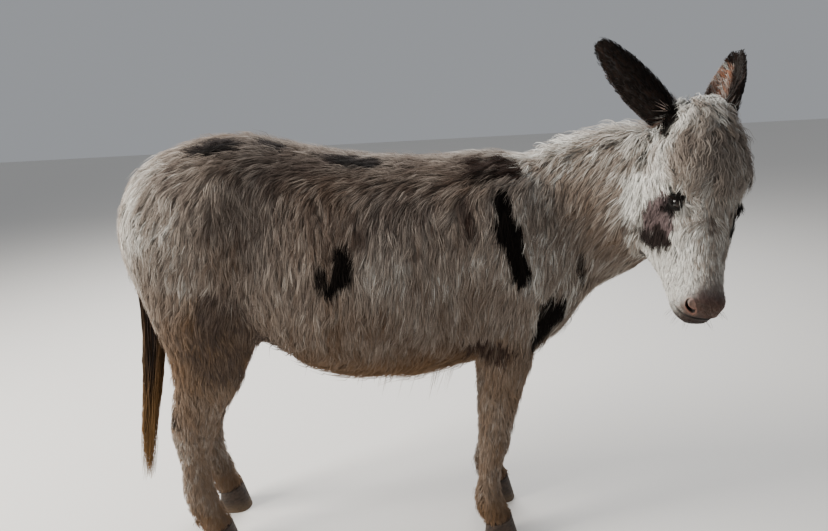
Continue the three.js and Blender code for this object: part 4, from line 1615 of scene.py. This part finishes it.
    def build(self) -> None:
        """Grows the whole coat."""
        roots = self.roots(self.fields[:, 0])
        x, y, _ = roots.points.T
        region = roots.share.argmax(axis=1)
        legs = np.isin(region, LEG_COLUMNS)
        fore = x > MID_TRUNK
        trunk = region == Region.TRUNK.value
        for name, (back, front) in TRUNK_PIECES.items():
            self.piece(name, roots.chosen(trunk & (x >= back) & (x < front)), 1, "coat_roan")
        for name, keep, slot in (
            ("coat_neck", region == Region.NECK.value, "coat_roan"),
            ("coat_face", region == Region.HEAD.value, "coat_pale"),
            ("coat_ears", np.isin(region, EAR_COLUMNS), "coat_dark"),
            ("coat_fore_legs", legs & fore, "coat_roan"),
            ("coat_hind_leg_right", legs & ~fore & (y < 0), "coat_roan"),
            ("coat_hind_leg_left", legs & ~fore & (y >= 0), "coat_roan"),
            ("coat_dock", region == Region.DOCK.value, "coat_dark"),
        ):
            self.piece(name, roots.chosen(keep), 1, slot)
        self.wool()
        self.mane()
        self.wisps()

    def wisps(self) -> None:
        """Grows the few long hairs that hang from the middle of the belly and behind the elbow."""
        out = self.skin.normals
        x, y, _ = self.skin.points.T
        low = self.skin.share[:, Region.TRUNK.value] * ramp(-out[:, 2], 0.6, 0.9)
        along = hump(x, 0.035, 0.035) + 0.35 * hump(x, -0.10, 0.06) + 0.12 * hump(x, -0.2, 0.2)
        where = low * along * (1 - ramp(np.abs(y), 0.05, 0.12))
        roots = self.roots(where * WISPS.density)
        WISPS.dress(roots)
        roots.length *= 0.5 + 0.7 * self.random.random(len(roots.points))
        self.piece(WISPS.name, roots, WISPS.rings, WISPS.slot)

    def wool(self) -> None:
        """Grows the curls of the forehead and the fringe over the brow, looser on the crown."""
        own = self.skin.own
        head = self.skin.share[:, Region.HEAD.value]
        brow = -0.142 + 0.035 * ramp(np.abs(own[:, 1]), 0.03, 0.08)
        ears = self.skin.share[:, EAR_COLUMNS].sum(axis=1)
        where = head * ramp(own[:, 2] - brow, -0.012, 0.012) * ramp(own[:, 0], -0.07, -0.02)
        beside = ramp(np.abs(own[:, 1]), 0.045, 0.07) * ramp(own[:, 2], -0.06, -0.03)
        where = where * (1 - ramp(ears, 0.02, 0.10)) * (1 - beside)
        roots = self.roots(where * WOOL.density)
        WOOL.dress(roots)
        crown = ramp(HEAD.inwards(roots.points)[:, 2], -0.07, -0.03)
        roots.length -= 0.004 * crown
        roots.lift += 0.16 * crown
        self.piece(WOOL.name, roots, WOOL.rings, WOOL.slot)

    def mane(self) -> None:
        """Grows the sparse upright mane along the crest."""
        out = self.skin.normals
        aside = np.abs((self.skin.points - NECK_ROOT) @ CROSSWISE)
        crest = self.skin.share[:, Region.NECK.value] * ramp(out[:, 2], 0.75, 0.92)
        crest = crest * (1 - ramp(aside, 0.02, 0.045))
        reach = ramp(self.skin.points[:, 0], 0.27, 0.36)
        roots = self.roots(crest * reach * MANE.density)
        MANE.dress(roots)
        self.piece(MANE.name, roots, MANE.rings, MANE.slot)


# ---- eyes, hooves and long hair
@dataclass(frozen=True)
class Eyeball:
    """One eye: a ball with a bulged cornea, a dark iris and a wide pupil.

    The iris reaches iris degrees round from the front, and pupil is half its width and height, as
    shares of the ball's radius.
    """

    socket: Socket
    around: int = 64
    along: int = 40
    bulge: float = 0.0011
    iris: float = 40.0
    pupil: tuple[float, float] = (0.42, 0.26)

    def build(self, finish: bpy.types.Material) -> None:
        """Makes the eyeball's piece."""
        turns = np.linspace(0, 2 * math.pi, self.around, endpoint=False)
        falls = np.linspace(0, math.pi, self.along + 1)[1:-1]
        ring = np.stack([np.cos(turns), np.sin(turns)], axis=1)
        rows = [np.column_stack([ring * math.sin(f), np.full(self.around, math.cos(f))]) for f in falls]
        ball = np.concatenate([[[0, 0, 1]], *rows, [[0, 0, -1]]])
        off = np.degrees(np.arccos(np.clip(ball[:, 2], -1, 1)))
        radius = self.socket.radius + self.bulge * (1 - ramp(off, 18, self.iris + 6))
        places = HEAD.outwards(self.socket.middle + (ball * radius[:, None]) @ self.socket.axes.T)
        wide, high = self.pupil
        out_of_pupil = ramp(np.hypot(ball[:, 0] / wide, ball[:, 1] / high), 0.9, 1.15)
        out_of_iris = ramp(off, self.iris - 5, self.iris + 3)
        colour = mix(Tone.BLACK.linear * 0.2, Tone.IRIS.linear, out_of_pupil[:, None])
        colour = mix(colour, Tone.EYE_EDGE.linear, out_of_iris[:, None])
        side = "right" if self.socket.side < 0 else "left"
        faces = []
        last = len(ball) - 1
        lowest = last - self.around
        for i in range(self.around):
            j = (i + 1) % self.around
            faces += [(0, 1 + i, 1 + j), (last, lowest + j, lowest + i)]
            for row in range(len(falls) - 1):
                a, b = 1 + row * self.around + i, 1 + row * self.around + j
                faces += [(a, a + self.around, b + self.around), (a, b + self.around, b)]
        piece = new_piece("eyeball_" + side, places, outward(places, np.array(faces)), colour)
        bring_in(piece, "eye", finish, "eye_" + side)


def outward(points: Array, faces: Array) -> Array:
    """Returns a closed mesh's triangles, turned over if they face inwards."""
    a, b, c = (points[faces[:, i]] - points.mean(axis=0) for i in range(3))
    return faces if dot(a, np.cross(b, c)).sum() > 0 else faces[:, ::-1]


@dataclass(frozen=True)
class Hoof:
    """One hoof: a small upright foot with growth lines, a worn and muddy rim and a cleft at the heel.

    Toe, heel and half are how far the sole reaches forward, back and to each side, and crown is how
    far the top reaches back, forward and to each side. The top is at height over the middle, and
    rises by slope towards the toe.
    """

    foot: str
    around: int = 72
    rings: int = 30
    toe: float = 0.048
    heel: float = -0.044
    half: float = 0.036
    crown: tuple[float, float, float] = (-0.037, 0.029, 0.0315)
    height: float = 0.0655
    slope: float = 0.34
    squareness: float = 2.3
    ridge: float = 0.0004
    cleft: float = 0.006
    cap: float = 0.014

    @property
    def place(self) -> tuple[float, float]:
        """Returns where the hoof's own middle stands in the donkey's frame."""
        low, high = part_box("hoof_" + self.foot)
        middle = (low.x + high.x) / 2 - SHIFT[0] - (self.toe + self.heel) / 2
        return middle, (low.y + high.y) / 2 - SHIFT[1]

    def over(self, points: Array) -> Array:
        """Returns how far over the hoof's top each place is, and 1 for a place off this foot."""
        ahead, aside = (points[:, :2] - self.place).T
        here = np.hypot(ahead, aside) < 0.09
        return np.where(here, points[:, 2] - self.height - self.slope * ahead, 1.0)

    def squared(self, values: Array) -> Array:
        """Returns cosines or sines pushed out from a circle towards a square."""
        return np.sign(values) * np.abs(values) ** (2 / self.squareness)

    def build(self, finish: bpy.types.Material) -> None:
        """Makes the hoof's piece."""
        turns = np.linspace(0, 2 * math.pi, self.around, endpoint=False)
        rows = []
        for t in np.linspace(0, 1, self.rings):
            ends = zip((self.heel, self.toe, self.half), self.crown)
            back, front, half = (mix(sole, top, t) for sole, top in ends)
            ahead = (back + front) / 2 + (front - back) / 2 * self.squared(np.cos(turns))
            aside = half * self.squared(np.sin(turns))
            own = np.stack([ahead, aside, t * (self.height + self.slope * ahead)], axis=1)
            lines = np.sin(t * 46 + 1.5 * noise(own, 0.03, 41)) * self.ridge * min(t * 6, 1)
            worn = noise(own * (1, 1, 0), 0.007, 42) * 0.0008 * (1 - t) ** 3
            own[:, :2] *= (1 + (lines + worn - 0.0005) / self.half)[:, None]
            own[:, 0] += self.cleft * hump(aside, 0, 0.006) * (ahead < 0) * (1 - 0.6 * t)
            rows.append(own)
        middles = [rows[0].mean(axis=0), rows[-1].mean(axis=0) + (0, 0, self.cap)]
        places = np.concatenate([*rows, middles]) + (*self.place, 0)
        places[:, 2] = np.maximum(places[:, 2], 0)
        first, last = len(places) - 2, len(places) - 1
        faces = []
        for i in range(self.around):
            j = (i + 1) % self.around
            faces += [(first, j, i), (last, last - 1 - self.around + i, last - 1 - self.around + j)]
            for row in range(self.rings - 1):
                a, b = row * self.around + i, row * self.around + j
                faces += [(a, b, b + self.around), (a, b + self.around, a + self.around)]
        grain = noise(places, 0.006, 43) * 0.5
        colour = mix(Tone.HORN.linear, Tone.HORN_DARK.linear, np.clip(0.5 + grain, 0, 1)[:, None])
        mud = np.clip((1 - places[:, 2] / 0.03) * 0.5 + grain * 0.5, 0, 0.6)
        colour = mix(colour, Tone.MUD.linear, mud[:, None])
        piece = new_piece("horn_" + self.foot, places, outward(places, np.array(faces)), colour)
        bring_in(piece, "hoof_horn", finish, "hoof_" + self.foot)


class StrandTree:
    """A node tree that grows hairs along a guide: many copies, set off, thinned to points."""

    INPUTS = (
        ("Count", "NodeSocketInt", 400),
        ("Spread", "NodeSocketFloat", 0.02),
        ("Thickness", "NodeSocketFloat", 0.0006),
        ("Wave", "NodeSocketFloat", 0.01),
        ("Seed", "NodeSocketInt", SEED),
    )
    PLACES = 13  # on each hair
    SHORTEST = 0.62  # of the longest hair

    def __init__(self, name: str, finish: bpy.types.Material) -> None:
        """Makes the tree."""
        self.tree = tree = bpy.data.node_groups.new(name, "GeometryNodeTree")
        self.add = add = partial(add_node, tree)
        tree.interface.new_socket("Geometry", in_out="INPUT", socket_type="NodeSocketGeometry")
        self.sockets = {}
        for label, kind, default in self.INPUTS:
            socket = tree.interface.new_socket(label, in_out="INPUT", socket_type=kind)
            socket.default_value = default
            self.sockets[label] = socket.identifier
        tree.interface.new_socket("Geometry", in_out="OUTPUT", socket_type="NodeSocketGeometry")
        self.given = add("NodeGroupInput").outputs
        self.along = add("GeometryNodeSplineParameter").outputs["Factor"]
        real = add("GeometryNodeRealizeInstances", {"Geometry": self.solid(*self.copies())})
        dressed = add("GeometryNodeSetMaterial", {"Geometry": real.outputs[0], "Material": finish})
        add("NodeGroupOutput", {"Geometry": dressed.outputs[0]})

    def copies(self) -> tuple[bpy.types.NodeSocket, dict[str, bpy.types.NodeSocket]]:
        """Adds the nodes that copy the guide and cut each copy off at its own length.

        Returns:
            The copies, and what every random number of a copy is drawn from.
        """
        add, given = self.add, self.given
        guide = add("GeometryNodeMeshToCurve", {"Mesh": given["Geometry"]})
        even = add("GeometryNodeResampleCurve", {"Curve": guide.outputs[0], "Count": self.PLACES})
        many = add(
            "GeometryNodeDuplicateElements",
            {"Geometry": even.outputs[0], "Amount": given["Count"]},
            domain="SPLINE",
        )
        draw = {"ID": many.outputs["Duplicate Index"], "Seed": given["Seed"]}
        mark = add("FunctionNodeRandomValue", draw, data_type="FLOAT")
        marked = add(
            "GeometryNodeStoreNamedAttribute",
            {"Geometry": many.outputs["Geometry"], "Name": "strand", "Value": mark.outputs[1]},
            data_type="FLOAT",
            domain="CURVE",
        )
        ends = add("FunctionNodeRandomValue", {2: self.SHORTEST, 3: 1.0, **draw}, data_type="FLOAT")
        cut = add(
            "GeometryNodeTrimCurve",
            {"Curve": marked.outputs["Geometry"], "End": ends.outputs[1]},
            mode="FACTOR",
        )
        return cut.outputs[0], draw

    def offset(self, draw: dict[str, bpy.types.NodeSocket]) -> bpy.types.NodeSocket:
        """Adds the nodes that set a hair off to its side and wave it, and returns how far."""
        add, along = self.add, self.along
        aim = add(
            "FunctionNodeRandomValue",
            {0: (-1.0, -1.0, -0.3), 1: (1.0, 1.0, 0.3), **draw},
            data_type="FLOAT_VECTOR",
        ).outputs[0]
        narrow = add("ShaderNodeMapRange", {"Value": along, "To Min": 1.0, "To Max": 0.3})
        reach = add(
            "ShaderNodeMath", {0: narrow.outputs[0], 1: self.given["Spread"]}, operation="MULTIPLY"
        )
        aside = add("ShaderNodeVectorMath", {0: aim, "Scale": reach.outputs[0]}, operation="SCALE")
        place = add("GeometryNodeInputPosition").outputs[0]
        apart = add("ShaderNodeVectorMath", {0: aim, "Scale": 3.0}, operation="SCALE")
        own = add("ShaderNodeVectorMath", {0: place, 1: apart.outputs[0]}, operation="ADD")
        swell = add("ShaderNodeTexNoise", {"Vector": own.outputs[0], "Scale": 7.0, "Detail": 1.0})
        centred = add(
            "ShaderNodeVectorMath",
            {0: swell.outputs["Color"], 1: (0.5, 0.5, 0.5)},
            operation="SUBTRACT",
        )
        amount = add("ShaderNodeMath", {0: along, 1: self.given["Wave"]}, operation="MULTIPLY")
        wave = add(
            "ShaderNodeVectorMath",
            {0: centred.outputs[0], "Scale": amount.outputs[0]},
            operation="SCALE",
        )
        both = {0: aside.outputs[0], 1: wave.outputs[0]}
        return add("ShaderNodeVectorMath", both, operation="ADD").outputs[0]

    def solid(
        self, curves: bpy.types.NodeSocket, draw: dict[str, bpy.types.NodeSocket]
    ) -> bpy.types.NodeSocket:
        """Adds the nodes that move the copies apart and thicken them, and returns the hairs' mesh."""
        add = self.add
        placed = add("GeometryNodeSetPosition", {"Geometry": curves, "Offset": self.offset(draw)})
        fine = add(
            "ShaderNodeMapRange", {"Value": self.along, "From Min": 0.5, "To Min": 1.0, "To Max": 0.15}
        )
        thick = add(
            "ShaderNodeMath", {0: fine.outputs[0], 1: self.given["Thickness"]}, operation="MULTIPLY"
        )
        profile = add(
            "GeometryNodeCurvePrimitiveCircle", {"Resolution": 3, "Radius": 1.0}, mode="RADIUS"
        )
        inputs = {
            "Curve": placed.outputs[0],
            "Profile Curve": profile.outputs[0],
            "Scale": thick.outputs[0],
            "Fill Caps": True,
        }
        return add("GeometryNodeCurveToMesh", inputs).outputs[0]

    def grown(self, name: str, guides: Array, **inputs: float) -> bpy.types.Object:
        """Returns a piece of hairs along guides.

        Args:
            name: the piece's name.
            guides: each guide's points in the donkey's frame, as many in each.
            inputs: the tree's named inputs.

        Returns:
            The hairs as one plain mesh.
        """
        mesh = bpy.data.meshes.new(name)
        size = guides.shape[1]
        rows = [(size * g + i, size * g + i + 1) for g in range(len(guides)) for i in range(size - 1)]
        mesh.from_pydata([tuple(p) for p in guides.reshape(-1, 3) + SHIFT], rows, [])
        piece = shown(name, mesh)
        growing = piece.modifiers.new("grow", "NODES")
        growing.node_group = self.tree
        for label, value in inputs.items():
            growing[self.sockets[label]] = value
        hairs = evaluated(piece)
        piece.modifiers.clear()
        piece.data = hairs
        return piece


@dataclass(frozen=True)
class Tail:
    """The long dark hair of the tail, which turns golden brown towards its tip."""

    line: tuple[tuple[float, float, float], ...] = (
        (-0.700, 0.002, 0.760),
        (-0.697, 0.004, 0.690),
        (-0.713, 0.004, 0.575),
        (-0.740, 0.004, 0.450),
        (-0.766, 0.004, 0.335),
        (-0.786, 0.004, 0.235),
        (-0.797, 0.004, 0.160),
    )
    strands: int = 900
    spread: float = 0.031

    def build(self, tree: StrandTree, finish: bpy.types.Material) -> None:
        """Makes the tail's hair."""
        guide = np.array(self.line)
        inputs = {"Count": self.strands, "Spread": self.spread, "Thickness": 0.0011, "Wave": 0.05}
        piece = tree.grown("tail_hair", guide[None], **inputs)
        places = corners(piece.data)
        strand = strand_numbers(piece)
        middle = np.interp(-places[:, 2], -guide[:, 2], guide[:, 0])
        edge = ramp(np.abs(places[:, 0] - middle), 0.006, 0.024)
        low = ramp(-places[:, 2], -0.66, -0.42)
        golden = ramp(-places[:, 2], -0.52, -0.25) + (0.10 + 0.35 * low) * edge
        golden = np.clip(golden + (strand - 0.5) * (0.15 + 0.35 * low), 0, 1)
        dark = mix(Tone.BLACK.linear, Tone.BROWN.linear, strand[:, None] * 0.8)
        paint(piece.data, mix(dark, Tone.GOLD.linear, golden[:, None] * 0.8))
        bring_in(piece, "coat_dark", finish, "tail_switch")


def strand_numbers(piece: bpy.types.Object) -> Array:
    """Returns each corner's own hair's number, from 0 to 1."""
    strand = np.empty(len(piece.data.vertices), dtype=np.float32)
    piece.data.attributes["strand"].data.foreach_get("value", strand)
    piece.data.polygons.foreach_set("use_smooth", np.full(len(piece.data.polygons), True))
    return strand


@dataclass(frozen=True)
class Whiskers:
    """The stiff hairs of the lips and chin, and the lashes of the upper lids."""

    lips: tuple[tuple[float, float, float], ...] = (
        (0.030, 0.014, -0.402),
        (0.012, 0.036, -0.398),
        (-0.006, 0.042, -0.388),
        (-0.020, 0.040, -0.376),
        (-0.018, 0.020, -0.408),
        (-0.034, 0.018, -0.398),
        (-0.046, 0.012, -0.384),
    )
    length: float = 0.022
    lash: float = 0.0115
    lash_angles: tuple[float, ...] = (-36, -26, -16, -6, 4, 14, 24, 34)

    def lip_guides(self, skin: Skin) -> Array:
        """Returns a guide out of the skin for each whisker of the lips."""
        guides = []
        for side in (-1, 1):
            for place in self.lips:
                found, out, _, _ = skin.tree.find_nearest(HEAD.outwards(np.array(place) * (1, side, 1)))
                root, out = np.array(found), np.array(out)
                steps = np.linspace(0, 1, 5)[:, None]
                fall = np.array([0, 0, -0.35]) * self.length * steps**2
                guides.append(root - out * 0.001 + out * self.length * steps + fall)
        return np.stack(guides)

    def lash_guides(self) -> Array:
        """Returns a guide out of the upper lid's edge for each group of lashes."""
        guides = []
        for socket in SOCKETS:
            for along in self.lash_angles:
                reach = (1 - (along / socket.wide) ** 2) ** 0.7
                steps = np.linspace(0, 1, 5)
                across = np.radians(socket.upper * reach + 4 - 20 * steps**2)
                turned = np.radians(np.full(5, along) * (1 + 0.15 * steps))
                ways = unit(np.stack([np.tan(turned), np.tan(across), np.ones(5)], axis=1))
                far = socket.radius + 0.0012 + self.lash * steps
                guides.append(HEAD.outwards(socket.middle + (ways * far[:, None]) @ socket.axes.T))
        return np.stack(guides)

    def build(self, tree: StrandTree, finish: bpy.types.Material, skin: Skin) -> None:
        """Makes the whiskers and the lashes."""
        whiskers = tree.grown(
            "whiskers", self.lip_guides(skin), Count=4, Spread=0.008, Thickness=0.00022, Wave=0.012
        )
        lashes = tree.grown(
            "lashes", self.lash_guides(), Count=5, Spread=0.0016, Thickness=0.00020, Wave=0.006
        )
        for piece, root_tone in ((whiskers, Tone.BROWN), (lashes, Tone.BLACK)):
            strand = strand_numbers(piece)
            paint(piece.data, mix(root_tone.linear, Tone.BROWN.linear, strand[:, None]))
            bring_in(piece, "coat_dark", finish)


# ---- camera and studio
@dataclass(frozen=True)
class Camera:
    """The view: a wide lens at a standing person's chest height, a little down and rolled."""

    place: tuple[float, float, float] = (0.020, -1.490, 1.140)
    down: float = 15.3
    yaw: float = -2.0
    roll: float = 3.2
    lens: float = 27.04
    sensor: float = 36.0
    nearest: float = 0.05

    def build(self) -> None:
        """Makes the camera."""
        data = bpy.data.cameras.new("camera")
        data.lens, data.sensor_width = self.lens, self.sensor
        data.clip_start = self.nearest
        camera = shown("camera", data)
        fall, heading, roll = (math.radians(v) for v in (self.down, self.yaw, self.roll))
        ahead = Vector(
            (math.sin(heading) * math.cos(fall), math.cos(heading) * math.cos(fall), -math.sin(fall))
        )
        right = Vector((math.cos(heading), -math.sin(heading), 0))
        below = ahead.cross(right)
        across = right * math.cos(roll) + below * math.sin(roll)
        downwards = -right * math.sin(roll) + below * math.cos(roll)
        turned = Matrix((across, -downwards, -ahead)).transposed().to_4x4()
        camera.matrix_world = Matrix.Translation(Vector(self.place) + Vector(SHIFT)) @ turned
        bpy.context.scene.camera = camera


@dataclass(frozen=True)
class Softbox:
    """One soft light: where it stands, what it faces, its size and its power."""

    name: str
    place: tuple[float, float, float]
    towards: tuple[float, float, float]
    size: float
    power: float
    colour: str = "ffffff"

    def build(self) -> None:
        """Makes the light."""
        data = bpy.data.lights.new(self.name, "AREA")
        data.shape, data.size, data.energy = "SQUARE", self.size, self.power
        data.color = srgb(self.colour)
        light = shown(self.name, data)
        light.location = Vector(self.place) + Vector(SHIFT)
        way = Vector(self.towards) - Vector(self.place)
        light.rotation_euler = way.to_track_quat("-Z", "Y").to_euler()


@dataclass(frozen=True)
class Studio:
    """A pale floor and soft lights, the strongest from behind the donkey's right hip."""

    floor: float = 30.0
    paleness: str = "e4e1dc"
    air: str = "e8ecf2"
    air_strength: float = 0.40
    lights: tuple[Softbox, ...] = (
        Softbox("key", (-3.3, -0.7, 2.7), (0.2, -0.1, 0.9), 1.5, 250, "fffaf2"),
        Softbox("top", (-0.4, 2.2, 3.4), (0.0, 0.0, 0.8), 2.6, 170),
        Softbox("fill", (-1.6, -3.6, 2.0), (0.0, 0.0, 0.7), 2.6, 10),
    )

    def build(self) -> None:
        """Makes the floor, the lights and the air."""
        material = bpy.data.materials.new("matt_floor_paint")
        material.use_nodes = True
        shader = material.node_tree.nodes["Principled BSDF"]
        shader.inputs["Base Color"].default_value = (*srgb(self.paleness), 1)
        shader.inputs["Roughness"].default_value = 0.85
        half = self.floor / 2
        places = half * np.array([(-1, -1, 0), (1, -1, 0), (1, 1, 0), (-1, 1, 0)])
        floor = new_piece("floor", places, np.array([(0, 1, 2, 3)]), smooth=False)
        floor.data.materials.append(material)
        for light in self.lights:
            light.build()
        world = bpy.data.worlds.new("studio_air")
        world.use_nodes = True
        background = world.node_tree.nodes["Background"]
        background.inputs["Color"].default_value = (*srgb(self.air), 1)
        background.inputs["Strength"].default_value = self.air_strength
        bpy.context.scene.world = world


def main() -> None:
    """Builds the camera, the studio and the donkey, part by part."""
    logging.basicConfig(level=logging.INFO, format="%(relativeCreated)d ms %(message)s")
    Camera().build()
    Studio().build()
    skin = Skin()
    skin.build()
    Coat(skin).build()
    eye = EYE.material()
    for socket in SOCKETS:
        Eyeball(socket).build(eye)
    horn = HORN.material()
    for foot in FEET:
        Hoof(foot).build(horn)
    hair = HAIR.material()
    tree = StrandTree("strands", hair)
    Tail().build(tree, hair)
    Whiskers().build(tree, hair, skin)


if __name__ == "__main__":
    main()
